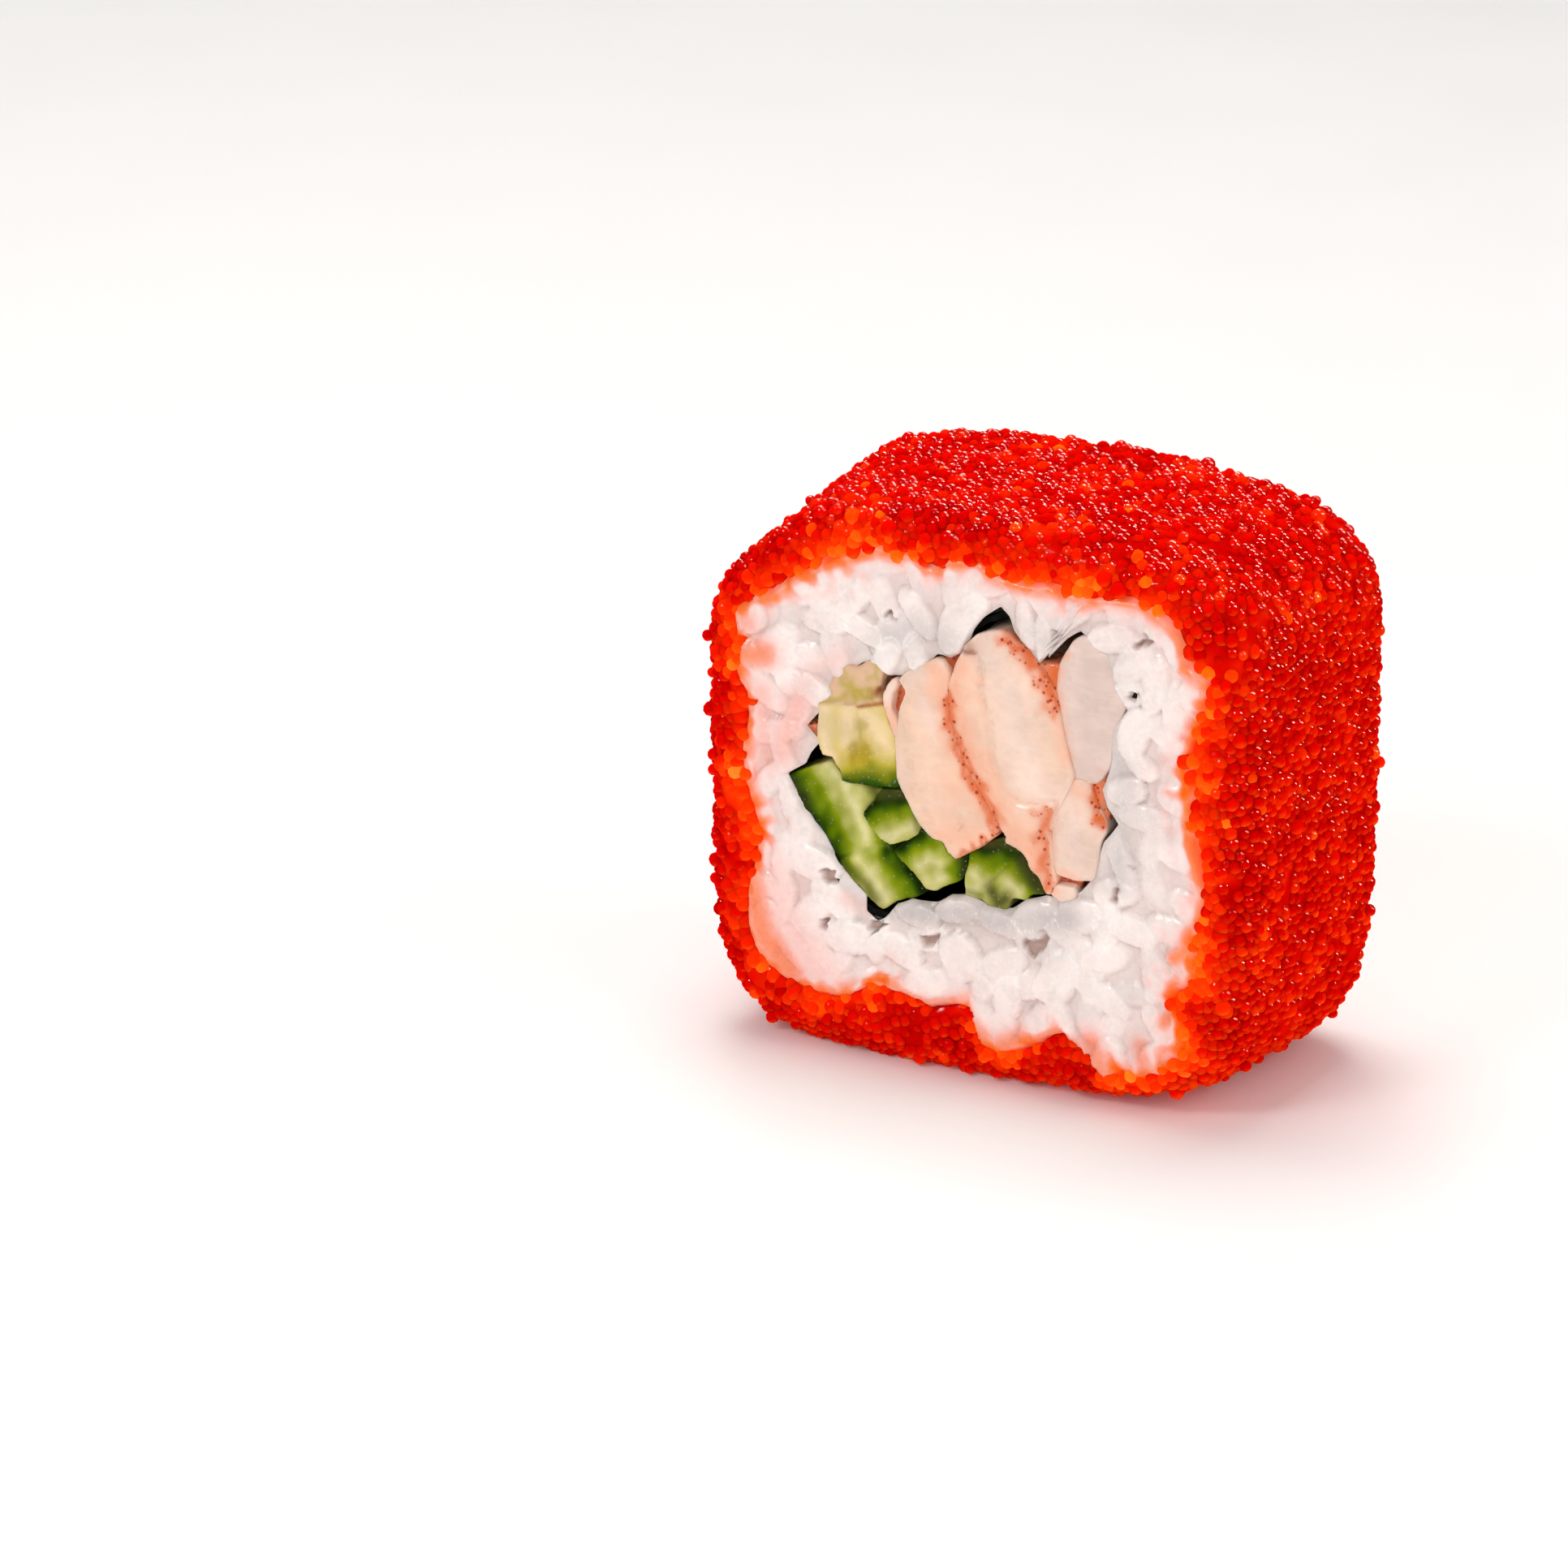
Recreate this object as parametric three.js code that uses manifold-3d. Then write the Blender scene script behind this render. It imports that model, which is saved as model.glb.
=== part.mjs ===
// One piece of california roll: a coat of fish roe round a layer of rice, a sheet of nori inside the rice,
// and prawn, cucumber and avocado through the middle. It lies on its side, with a cut face to the front.
// Millimetres, +Z up. X runs across the roll and Y along it towards the back. The origin is under its middle.
import * as THREE from 'three';
import { LoftGeometry } from 'three/addons/geometries/LoftGeometry.js';
import { mergeVertices } from 'three/addons/utils/BufferGeometryUtils.js';
import Module from 'manifold-3d';

// The whole piece
const WIDTH = 44;
const HEIGHT = 41.6;
const LENGTH = 22.6;
const SQUASH = 0.6; // how far the round underside would reach below the table if it were not pressed flat
const CORNER_POWERS = [4.8, 3.5, 5.5, 4.4]; // how square the corners are, anticlockwise from the upper right
const GAP = 0.3; // the clearance between neighbouring pieces

// The coat of roe
const COAT = 1.8;
const COAT_RIM = 0.4; // the coat's thickness where it runs out at a cut face
const FRONT_EDGE = 3.2; // the rounding of the cut edges
const BACK_EDGE = 3.8;
const ROE_HEIGHT = 0.5; // how far an egg stands out of the coat
const ROE_EVERY = 3; // every third point of the coat's surface stands out as an egg
const ROE_COLUMNS = 42 * ROE_EVERY;
const ROE_ROWS = 22;
const ROE_STRAY = 0.22; // how far an egg strays from its place, as a share of the spacing
const SWELL = 0.3; // slow unevenness of the coat, as waves round the roll and along it
const SWELL_WAVES = [{ round: 3, along: 0.2, shift: 0 }, { round: 5, along: -0.3, shift: 2 }];
const SEED = 20;

// The rice
const RICE_COLUMNS = 72;
const GRAIN_LENGTH = 4.4;
const GRAIN_WIDTH = 2.3;
const GRAIN_RISE = 0.9; // how far the grains stand out of the rice behind them
const GRAIN_SPACING = 2.6;
const GRAIN_TRIES = 4000;
const GRAIN_DETAIL = 1; // how often an octahedron's faces are split to make a grain

// The nori
const NORI = 0.4;
const NORI_RECESS = 1.0; // how far its edge lies behind the cut rice
const NORI_COLUMNS = 60;
const NORI_OUTLINE = [
  [12.2, 9.0], [11.4, 12.5], [9.0, 14.6], [5.6, 14.3], [1.8, 13.8], [-1.2, 12.0], [-4.2, 9.9],
  [-9.2, 9.5], [-12.3, 6.8], [-14.0, 3.2], [-15.2, -0.4], [-12.5, -5.3], [-9.1, -9.4], [-6.4, -10.0],
  [-2.0, -8.2], [3.0, -8.4], [8.4, -6.2], [11.0, -2.8], [11.7, 3.0],
];

// The fillings: each outline is a section across the roll, X to the right and Z up from the roll's axis.
// front and back are how far the ends lie behind the cut faces, and round is how far the ends curve in.
const PRAWN = { colour: 0xf3cdb8, roughness: 0.4, columns: 30 };
const CUCUMBER = { colour: 0x7aa03c, roughness: 0.3, columns: 0 };
const AVOCADO = { colour: 0xc3bd6b, roughness: 0.5, columns: 26 };
const FILLINGS = [
  {
    name: 'shrimp_left', kind: PRAWN, front: 0.1, back: 0.5, round: 0.7,
    outline: [
      [-3.1, 9.0], [-5.2, 8.1], [-5.8, 4.8], [-5.9, 1.7], [-4.9, -0.9], [-3.2, -2.9], [-1.1, -4.3],
      [0.9, -3.2], [2.2, -1.4], [1.6, 0.1], [0.3, 1.9], [-0.8, 3.4], [-1.5, 5.4], [-1.9, 7.4],
    ],
  },
  {
    name: 'shrimp_middle', kind: PRAWN, front: 0, back: 0.2, round: 0.35,
    outline: [
      [2.8, 12.8], [0.9, 12.6], [-0.5, 10.9], [-1.7, 8.6], [-1.6, 6.4], [-0.9, 3.9], [0.3, 2.2], [1.6, 0.4],
      [2.7, -1.8], [4.2, -2.6], [4.8, -4.1], [6.1, -5.7], [6.6, -3.4], [6.5, -0.6], [7.0, 1.3], [7.8, 3.2],
      [7.4, 5.4], [6.8, 8.0], [5.4, 10.4],
    ],
  },
  {
    name: 'shrimp_right', kind: PRAWN, front: 0.6, back: 0.3, round: 0.6,
    outline: [
      [8.8, 13.9], [7.6, 13.6], [6.7, 11.4], [6.8, 8.4], [7.5, 5.6], [8.1, 3.7], [9.3, 2.9], [10.8, 4.9],
      [11.1, 7.0], [11.6, 9.2], [10.9, 11.4],
    ],
  },
  {
    name: 'shrimp_lower', kind: PRAWN, front: 0.4, back: 0.6, round: 0.4,
    outline: [
      [8.5, 2.8], [7.3, 1.5], [6.5, -0.8], [6.5, -2.8], [8.2, -4.1], [9.9, -3.9], [10.2, -1.8], [10.4, -0.4],
      [10.0, 1.3],
    ],
  },
  {
    name: 'cucumber_long', kind: CUCUMBER, front: 0.8, back: 0.7, round: 0.15,
    outline: [
      [-11.1, 0.9], [-13.0, 0.4], [-14.5, -0.3], [-13.3, -2.7], [-11.6, -4.4], [-9.6, -7.2], [-8.0, -8.6],
      [-6.5, -9.2], [-4.5, -7.9], [-3.4, -7.2], [-4.9, -5.7], [-7.4, -4.4], [-8.4, -2.4], [-7.4, -1.1],
      [-9.8, -0.7],
    ],
  },
  {
    name: 'cucumber_small', kind: CUCUMBER, front: 0.3, back: 0.9, round: 0.15,
    outline: [
      [-6.3, -0.4], [-7.1, -1.0], [-8.1, -2.4], [-7.2, -4.0], [-6.1, -4.3], [-5.2, -3.9], [-4.2, -2.9],
      [-4.2, -2.2], [-5.2, -0.4],
    ],
  },
  {
    name: 'cucumber_middle', kind: CUCUMBER, front: 0.5, back: 0.4, round: 0.15,
    outline: [
      [-3.5, -3.2], [-4.2, -3.6], [-5.7, -4.8], [-4.6, -5.7], [-3.1, -7.1], [-1.2, -6.1], [-0.5, -5.4],
      [-0.5, -4.4], [-1.1, -4.5], [-2.6, -3.6],
    ],
  },
  {
    name: 'cucumber_right', kind: CUCUMBER, front: 0.7, back: 0.6, round: 0.15,
    outline: [
      [3.0, -2.3], [1.2, -2.9], [-0.2, -4.0], [-0.2, -6.9], [1.1, -7.0], [2.2, -7.6], [3.1, -7.3],
      [3.4, -6.3], [4.8, -6.3], [6.0, -5.8], [4.9, -4.3], [4.1, -2.9],
    ],
  },
  {
    name: 'avocado', kind: AVOCADO, front: 0.3, back: 0.5, round: 0.4,
    outline: [
      [-6.8, 6.0], [-7.5, 8.3], [-9.2, 8.7], [-10.8, 7.6], [-11.9, 5.2], [-12.2, 2.9], [-11.8, 1.5],
      [-10.6, 1.2], [-9.6, -0.1], [-6.1, -0.1], [-6.0, 2.6], [-6.2, 4.6],
    ],
  },
];
const FILLING_GAP = 0.4; // the clearance between two fillings
const END_EASE = 0.3; // where a rounded end is measured, as a share of its rounding
const MERGE = 1e-4; // points closer than this are one point

const random = THREE.MathUtils.seededRandom;
const wasm = await Module();
wasm.setup();

function solidOf(geometry) {
  const bare = new THREE.BufferGeometry().setIndex(geometry.index);
  bare.setAttribute('position', geometry.getAttribute('position'));
  const merged = mergeVertices(bare, MERGE);
  return new wasm.Manifold(new wasm.Mesh({
    numProp: 3,
    vertProperties: new Float32Array(merged.attributes.position.array),
    triVerts: new Uint32Array(merged.index.array),
  }));
}

function geometryOf(solid) {
  const mesh = solid.getMesh();
  return new THREE.BufferGeometry()
    .setAttribute('position', new THREE.BufferAttribute(mesh.vertProperties, 3))
    .setIndex(new THREE.BufferAttribute(mesh.triVerts, 1));
}

// A point on the roll's section, at an angle round its axis and an inset from its outline.
function sectionPoint(angle, inset) {
  const quarter = Math.floor(angle / (Math.PI / 2)) % CORNER_POWERS.length;
  const power = CORNER_POWERS[quarter];
  const right = Math.cos(angle);
  const up = Math.sin(angle);
  const halfWidth = WIDTH / 2 - inset;
  const halfHeight = HEIGHT / 2 + (up < 0 ? SQUASH : 0) - inset;
  const reach = (Math.abs(right / halfWidth) ** power + Math.abs(up / halfHeight) ** power) ** (-1 / power);
  return new THREE.Vector2(right * reach, Math.max(up * reach, -HEIGHT / 2));
}

// A point's angle round the roll's axis, from 0 to a full turn.
function angleOf(point) {
  return point.angle() % (2 * Math.PI);
}

function ringAt(y, points) {
  return points.map((point) => new THREE.Vector3(point.x, y, point.y));
}

// A closed outline through its points, anticlockwise as seen from the front: rounded if it has columns, and
// otherwise with the points as its corners.
function outlineThrough(points, columns) {
  const corners = points.map(([x, z]) => new THREE.Vector3(x, z, 0));
  if (!columns) return corners.map((corner) => new THREE.Vector2(corner.x, corner.y));
  const curve = new THREE.CatmullRomCurve3(corners, true, 'centripetal');
  return curve.getSpacedPoints(columns).slice(0, columns).map((point) => new THREE.Vector2(point.x, point.y));
}

// The outline moved outwards by a distance, or inwards by a negative one.
function offsetOutline(outline, distance) {
  const count = outline.length;
  const edgeNormal = (index) => {
    const edge = outline[(index + 1) % count].clone().sub(outline[index]).normalize();
    return new THREE.Vector2(edge.y, -edge.x);
  };
  return outline.map((point, index) => {
    const before = edgeNormal((index + count - 1) % count);
    const after = edgeNormal(index);
    const mitre = before.clone().add(after).divideScalar(1 + before.dot(after));
    return point.clone().addScaledVector(mitre, distance);
  });
}

// A ring-shaped solid, lofted from its back edge over the outside to the front and back through the inside.
function ringSolid(sections) {
  return new LoftGeometry([...sections, sections[0]]);
}

// The coat's outer side as seen from the side: along the roll, and in from its outline.
function coatProfile() {
  const profile = new THREE.Path();
  profile.absarc(LENGTH / 2 - BACK_EDGE, BACK_EDGE, BACK_EDGE, 0, -Math.PI / 2, true);
  profile.absarc(FRONT_EDGE - LENGTH / 2, FRONT_EDGE, FRONT_EDGE, -Math.PI / 2, -Math.PI, true);
  return profile;
}

// Where the coat ends and the rice begins, with a clearance: along the roll, and in from its outline.
function innerStations(clearance, recess) {
  return [
    { y: LENGTH / 2 - recess, inset: BACK_EDGE + COAT_RIM + clearance },
    { y: LENGTH / 2 - BACK_EDGE, inset: COAT + clearance },
    { y: FRONT_EDGE - LENGTH / 2, inset: COAT + clearance },
    { y: recess - LENGTH / 2, inset: FRONT_EDGE + COAT_RIM + clearance },
  ];
}

// How far out from its outline the coat lies at a place: zero or less.
function swellAt(angle, y) {
  const waves = SWELL_WAVES.map(({ round, along, shift }) => Math.sin(round * angle + along * y + shift) - 1);
  return (SWELL / SWELL_WAVES.length) * waves.reduce((sum, wave) => sum + wave);
}

function columnAngle(column) {
  return ((column + 0.5) / ROE_COLUMNS) * 2 * Math.PI;
}

// The eggs are finer than the solid can show one by one, so they are close-set bumps of about their size:
// every third point of a row stands out, the rows are staggered, and each point strays a little.
function roeCoat() {
  random(SEED);
  const profile = coatProfile();
  const stray = () => ROE_STRAY * (2 * random() - 1);
  const outside = [];
  for (let row = 0; row <= ROE_ROWS; row++) {
    const ring = [];
    for (let column = 0; column < ROE_COLUMNS; column++) {
      const atEnd = row === 0 || row === ROE_ROWS;
      const along = atEnd ? row / ROE_ROWS : (row + stray()) / ROE_ROWS;
      const angle = columnAngle(column + stray());
      const place = profile.getPoint(along);
      const tangent = profile.getTangent(along);
      const low = (row - column) % ROE_EVERY === 0 ? 0 : ROE_HEIGHT;
      const depth = atEnd ? 0 : low - swellAt(angle, place.x);
      const y = place.x + tangent.y * depth;
      const point = sectionPoint(angle, place.y - tangent.x * depth);
      ring.push(new THREE.Vector3(point.x, y, point.y));
    }
    outside.push(ring);
  }
  const angles = Array.from({ length: ROE_COLUMNS }, (_, column) => columnAngle(column));
  const inside = innerStations(0, 0).reverse()
    .map(({ y, inset }) => ringAt(y, angles.map((angle) => sectionPoint(angle, inset))));
  return ringSolid([...outside, ...inside]);
}

function noriCentre(columns) {
  return outlineThrough(NORI_OUTLINE, columns);
}

function nori() {
  const outer = offsetOutline(noriCentre(NORI_COLUMNS), NORI / 2);
  const inner = offsetOutline(noriCentre(NORI_COLUMNS), -NORI / 2);
  const end = LENGTH / 2 - NORI_RECESS;
  return ringSolid([ringAt(end, outer), ringAt(-end, outer), ringAt(-end, inner), ringAt(end, inner)]);
}

// The rice without its grains: from the nori out to the coat, a grain's rise short of the cut faces.
function riceCore(inner) {
  const outerAt = (inset) => inner.map((point) => sectionPoint(angleOf(point), inset));
  const outside = innerStations(GAP, GRAIN_RISE).map(({ y, inset }) => ringAt(y, outerAt(inset)));
  const end = LENGTH / 2 - GRAIN_RISE;
  return ringSolid([...outside, ringAt(-end, inner), ringAt(end, inner)]);
}

// The line through the middle of a grain on a cut face, from one round end's centre to the other's.
function grainAxis(place, turn) {
  const reach = (GRAIN_LENGTH - GRAIN_WIDTH) / 2;
  const tip = new THREE.Vector3(Math.cos(turn) * reach, Math.sin(turn) * reach, 0);
  const middle = new THREE.Vector3(place.x, place.y, 0);
  return new THREE.Line3(middle.clone().sub(tip), middle.clone().add(tip));
}

// Places for grains on a cut face, evenly spread: random ones are tried, and kept where they have room
// between the nori and the coat.
function grainPlaces(inner, edge) {
  const outer = inner.map((point) => sectionPoint(angleOf(point), edge + COAT_RIM + GAP));
  const edges = [...inner, ...outer].map((point) => new THREE.Vector3(point.x, point.y, 0));
  const nearest = new THREE.Vector3();
  const places = [];
  for (let attempt = 0; attempt < GRAIN_TRIES; attempt++) {
    const column = Math.floor(random() * inner.length);
    const place = inner[column].clone().lerp(outer[column], random());
    const turn = random() * Math.PI;
    const axis = grainAxis(place, turn);
    const clear = edges.every((point) => (
      axis.closestPointToPoint(point, true, nearest).distanceTo(point) > GRAIN_WIDTH / 2
    ));
    const alone = places.every((other) => other.place.distanceTo(place) > GRAIN_SPACING);
    if (clear && alone) places.push({ place, turn });
  }
  return places;
}

function rice() {
  const inner = offsetOutline(noriCentre(RICE_COLUMNS), NORI / 2 + GAP);
  random(SEED);
  const half = [GRAIN_LENGTH / 2, GRAIN_WIDTH / 2, GRAIN_WIDTH / 2];
  let solid = solidOf(riceCore(inner));
  for (const [side, edge] of [[-1, FRONT_EDGE], [1, BACK_EDGE]]) {
    for (const { place, turn } of grainPlaces(inner, edge)) {
      const grain = new THREE.OctahedronGeometry(1, GRAIN_DETAIL).scale(...half).rotateY(-turn);
      grain.translate(place.x, side * (LENGTH / 2 - GRAIN_WIDTH / 2), place.y);
      solid = solid.add(solidOf(grain));
    }
  }
  return geometryOf(solid);
}

// A filling runs through the roll from one cut face to the other, its ends rounded over.
function filling({ kind, front, back, round, outline }) {
  const section = offsetOutline(outlineThrough(outline, kind.columns), -FILLING_GAP / 2);
  const shrunk = offsetOutline(section, -round);
  const eased = offsetOutline(section, -round * END_EASE);
  const backEnd = LENGTH / 2 - back;
  const frontEnd = front - LENGTH / 2;
  const sections = [
    ringAt(backEnd, shrunk),
    ringAt(backEnd - round * END_EASE, eased),
    ringAt(backEnd - round, section),
    ringAt(frontEnd + round, section),
    ringAt(frontEnd + round * END_EASE, eased),
    ringAt(frontEnd, shrunk),
  ];
  return new LoftGeometry(sections, { capStart: true, capEnd: true });
}

function piece(name, geometry, colour, roughness) {
  const material = new THREE.MeshStandardMaterial({ color: colour, roughness, metalness: 0 });
  const mesh = new THREE.Mesh(geometry, material);
  mesh.name = name;
  return mesh;
}

const roll = new THREE.Group();
roll.add(piece('roe_coat', roeCoat(), 0xe8260a, 0.25));
roll.add(piece('rice', rice(), 0xeee6e4, 0.45));
roll.add(piece('nori', nori(), 0x12140f, 0.5));
for (const each of FILLINGS) {
  roll.add(piece(each.name, filling(each), each.kind.colour, each.kind.roughness));
}
roll.position.z = HEIGHT / 2;

export default roll;
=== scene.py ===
# %% [markdown]
# # A piece of california roll
# An inside-out roll, cut into slices. From the outside in it is a coat of fish eggs, a layer of rice, a
# sheet of nori and a handful of fillings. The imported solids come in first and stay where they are, and
# every soft or grainy piece below takes the place of one of them. Lengths of the roll are in millimetres,
# as a cook would measure, and they become metres only when a mesh is made. Lamps and floor are placed in
# metres.

# %% Load the solids
import math

import bmesh
import bpy
import numpy as np
from mathutils import Matrix, Vector
from mathutils.kdtree import KDTree


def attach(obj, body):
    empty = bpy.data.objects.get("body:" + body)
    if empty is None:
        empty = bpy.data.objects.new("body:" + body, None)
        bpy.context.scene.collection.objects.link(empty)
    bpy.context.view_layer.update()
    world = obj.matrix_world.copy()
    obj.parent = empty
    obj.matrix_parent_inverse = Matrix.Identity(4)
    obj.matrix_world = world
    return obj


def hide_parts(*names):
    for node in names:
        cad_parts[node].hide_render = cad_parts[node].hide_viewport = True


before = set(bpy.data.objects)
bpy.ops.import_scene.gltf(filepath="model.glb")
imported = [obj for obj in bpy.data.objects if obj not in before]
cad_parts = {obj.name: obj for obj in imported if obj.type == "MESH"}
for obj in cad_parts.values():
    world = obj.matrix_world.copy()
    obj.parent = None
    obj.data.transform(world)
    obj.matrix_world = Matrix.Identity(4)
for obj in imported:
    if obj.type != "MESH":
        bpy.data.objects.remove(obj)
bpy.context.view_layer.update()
MM = 0.001
print("solids:", sorted(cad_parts))

# %% [markdown]
# ## Camera
# The roll is seen from a little to its right and a little above, through a long lens, so its edges stay
# nearly parallel. The camera is turned instead of shifted, so that other views stay centred.

# %% Camera
HEIGHT = 41.6
PHOTO_SIDE = 1932
AZIMUTH = math.radians(27.97)
ELEVATION = math.radians(19.61)
CAMERA_ROLL = math.radians(0.98)
CAMERA_DISTANCE = 616.0
FOCAL_PIXELS = 10774.2
OFF_CENTRE = (323.3, 34.4)  # how far right of and above the middle of the picture the roll's middle lies
SENSOR = 36.0

towards_camera = Vector((
    math.sin(AZIMUTH) * math.cos(ELEVATION),
    -math.cos(AZIMUTH) * math.cos(ELEVATION),
    math.sin(ELEVATION),
))
level_right = Vector((math.cos(AZIMUTH), math.sin(AZIMUTH), 0))
level_up = towards_camera.cross(level_right)
right = level_right * math.cos(CAMERA_ROLL) + level_up * math.sin(CAMERA_ROLL)
up = towards_camera.cross(right)
look = -towards_camera - right * (OFF_CENTRE[0] / FOCAL_PIXELS) - up * (OFF_CENTRE[1] / FOCAL_PIXELS)
look.normalize()
right = look.cross(up).normalized()
up = right.cross(look)

camera = bpy.data.objects.new("camera", bpy.data.cameras.new("camera"))
bpy.context.scene.collection.objects.link(camera)
camera.data.sensor_width = SENSOR
camera.data.lens = SENSOR * FOCAL_PIXELS / PHOTO_SIDE
camera.data.clip_start = 0.01
camera.matrix_world = Matrix((
    (right.x, up.x, -look.x, towards_camera.x * CAMERA_DISTANCE * MM),
    (right.y, up.y, -look.y, towards_camera.y * CAMERA_DISTANCE * MM),
    (right.z, up.z, -look.z, (towards_camera.z * CAMERA_DISTANCE + HEIGHT / 2) * MM),
    (0, 0, 0, 1),
))
bpy.context.scene.camera = camera
print("lens", round(camera.data.lens, 1), "mm")

# %% [markdown]
# ## Light and floor
# Food is lit with soft lamps. A wide one above, three around the roll and a pale world only light it:
# they don't show in reflections, or the wet roll would look dusty. Four more do the opposite. They show
# only in reflections: three give the eggs their small bright streaks and the rice its sparkle, and a wide
# warm card behind the roll shows as a thin line along the upper edge of each wet egg. The floor is a
# plain pale sheet.

# %% Light and floor
scene = bpy.context.scene
scene.view_settings.view_transform = "Standard"
scene.view_settings.look = "None"

world = bpy.data.worlds.new("studio")
world.use_nodes = True
sky = world.node_tree.nodes["Background"]
sky.inputs["Color"].default_value = (1.0, 0.99, 0.98, 1)
sky.inputs["Strength"].default_value = 0.42
world.cycles_visibility.glossy = False
scene.world = world

WHITE, PALE = (1.0, 0.98, 0.96), (1.0, 0.93, 0.82)
CREAM, WARM = (1.0, 0.86, 0.64), (1.0, 0.48, 0.22)
# name, place, direction of the long side, size in metres, watts, colour, and whether it lights the roll (or
# else shows in reflections)
LAMPS = [
    ("lamp_above", (-0.08, 0.10, 0.50), (1.0, 0.0, 0.0), (0.30, 0.25), 1.35, WHITE, True),
    ("lamp_front", (-0.20, -0.55, 0.50), (1.0, 0.0, 0.0), (0.24, 0.14), 1.05, WHITE, True),
    ("lamp_fill", (0.25, -0.60, 0.25), (1.0, 0.0, 0.0), (0.50, 0.40), 1.25, WHITE, True),
    ("lamp_right", (0.55, 0.00, 0.30), (0.0, 1.0, 0.0), (0.30, 0.30), 0.58, WHITE, True),
    ("glint_above", (-0.10, 0.28, 0.50), (0.85, -0.50, 0.0), (0.60, 0.09), 5.2, PALE, False),
    ("glint_right", (0.50, 0.12, 0.40), (0.35, 0.61, -0.67), (0.55, 0.14), 9.0, CREAM, False),
    ("glint_front", (-0.20, -0.45, 0.42), (1.0, 0.0, 0.0), (0.20, 0.12), 2.5, WHITE, False),
    ("card_behind", (-0.40, 0.79, 0.13), (0.88, 0.45, 0.0), (1.50, 0.80), 0.6, WARM, False),
]
roll_middle = Vector((0, 0, HEIGHT / 2 * MM))
for name, place, long_side, size, watts, colour, lights in LAMPS:
    lamp = bpy.data.objects.new(name, bpy.data.lights.new(name, "AREA"))
    lamp.data.shape = "RECTANGLE"
    lamp.data.size, lamp.data.size_y = size
    lamp.data.energy = watts
    lamp.data.color = colour
    lamp.visible_camera = False
    lamp.visible_diffuse = lights
    lamp.visible_glossy = not lights
    backward = (Vector(place) - roll_middle).normalized()
    sideways = (Vector(long_side) - backward * backward.dot(Vector(long_side))).normalized()
    turned = Matrix((sideways, backward.cross(sideways), backward)).transposed()
    lamp.matrix_world = Matrix.Translation(place) @ turned.to_4x4()
    scene.collection.objects.link(lamp)

FLOOR_SIDE = 6.0
floor_mesh = bpy.data.meshes.new("floor")
half = FLOOR_SIDE / 2
floor_corners = [(-half, -half, 0), (half, -half, 0), (half, half, 0), (-half, half, 0)]
floor_mesh.from_pydata(floor_corners, [], [(0, 1, 2, 3)])
floor = bpy.data.objects.new("floor", floor_mesh)
floor.visible_glossy = False
scene.collection.objects.link(floor)
print(len(LAMPS), "lamps and a floor")

# %% [markdown]
# ## Helpers for meshes
# Thousands of eggs and grains are too many to place by hand, so the meshes are worked out as tables of
# points with numpy and handed to Blender in one go. Each point can carry extra values, such as how near
# it is to the rice or how orange it is, and the materials read those values by name.

# %% Helpers for meshes
SEED = 7


def carry(mesh, values):
    """Gives each point of a mesh some named values."""
    for key, numbers in values.items():
        mesh.attributes.new(key, "FLOAT", "POINT").data.foreach_set("value", numbers.astype(np.float32))


def mesh_from(name, points, faces, values=None):
    """A mesh from points in millimetres about the roll's axis, and faces that all have as many corners."""
    mesh = bpy.data.meshes.new(name)
    lifted = (points + np.array((0, 0, HEIGHT / 2))) * MM
    mesh.vertices.add(len(points))
    mesh.vertices.foreach_set("co", lifted.astype(np.float32).ravel())
    count, corners = faces.shape
    mesh.loops.add(count * corners)
    mesh.loops.foreach_set("vertex_index", faces.astype(np.int32).ravel())
    mesh.polygons.add(count)
    mesh.polygons.foreach_set("loop_start", np.arange(0, count * corners, corners, dtype=np.int32))
    mesh.update(calc_edges=True)
    mesh.validate()
    mesh.shade_smooth()
    carry(mesh, values or {})
    return mesh


def add_piece(name, mesh, material, nodes=()):
    """Shows a mesh as a piece of the roll, in place of the named solids."""
    piece = bpy.data.objects.new(name, mesh)
    mesh.materials.clear()
    mesh.materials.append(material)
    scene.collection.objects.link(piece)
    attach(piece, "root")
    if nodes:
        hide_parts(*nodes)
    print(name, len(mesh.polygons), "faces")
    return piece


def points_of(mesh):
    """A mesh's points in millimetres about the roll's axis."""
    flat = np.empty(len(mesh.vertices) * 3, np.float32)
    mesh.vertices.foreach_get("co", flat)
    return flat.reshape(-1, 3).astype(float) / MM - np.array((0, 0, HEIGHT / 2))


def place_points(mesh, points):
    """Moves a mesh's points to places in millimetres about the roll's axis."""
    mesh.vertices.foreach_set("co", ((points + (0, 0, HEIGHT / 2)) * MM).astype(np.float32).ravel())
    mesh.update()


print("a millimetre is", MM, "of Blender's units")

# %% [markdown]
# ## Helpers for uneven shapes
# Nothing on food is even, so most shapes below get noise. Blender has noise of its own, but a sum of
# waves in random directions is short, and it works on whole tables of points. The other helpers are a
# soft step from 0 to 1, and the faces of a sheet of rings.

# %% Helpers for uneven shapes
WAVE_LENGTHS, WAVE_SPREAD = (1.2, 2.8), 1.6  # in sizes of a lump, and what most of the sum lies within


def waves(points, size, seed, count=20):
    """Smooth noise, mostly from -1 to 1, in lumps of a given size: a sum of waves in random directions."""
    rng = np.random.default_rng(seed)
    total = np.zeros(len(points))
    for _ in range(count):
        direction = rng.normal(size=points.shape[1])
        direction /= np.linalg.norm(direction)
        length = size * rng.uniform(*WAVE_LENGTHS)
        total += np.sin(points @ direction * (2 * np.pi / length) + rng.uniform(0, 2 * np.pi))
    return total / math.sqrt(count / 2) / WAVE_SPREAD


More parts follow.
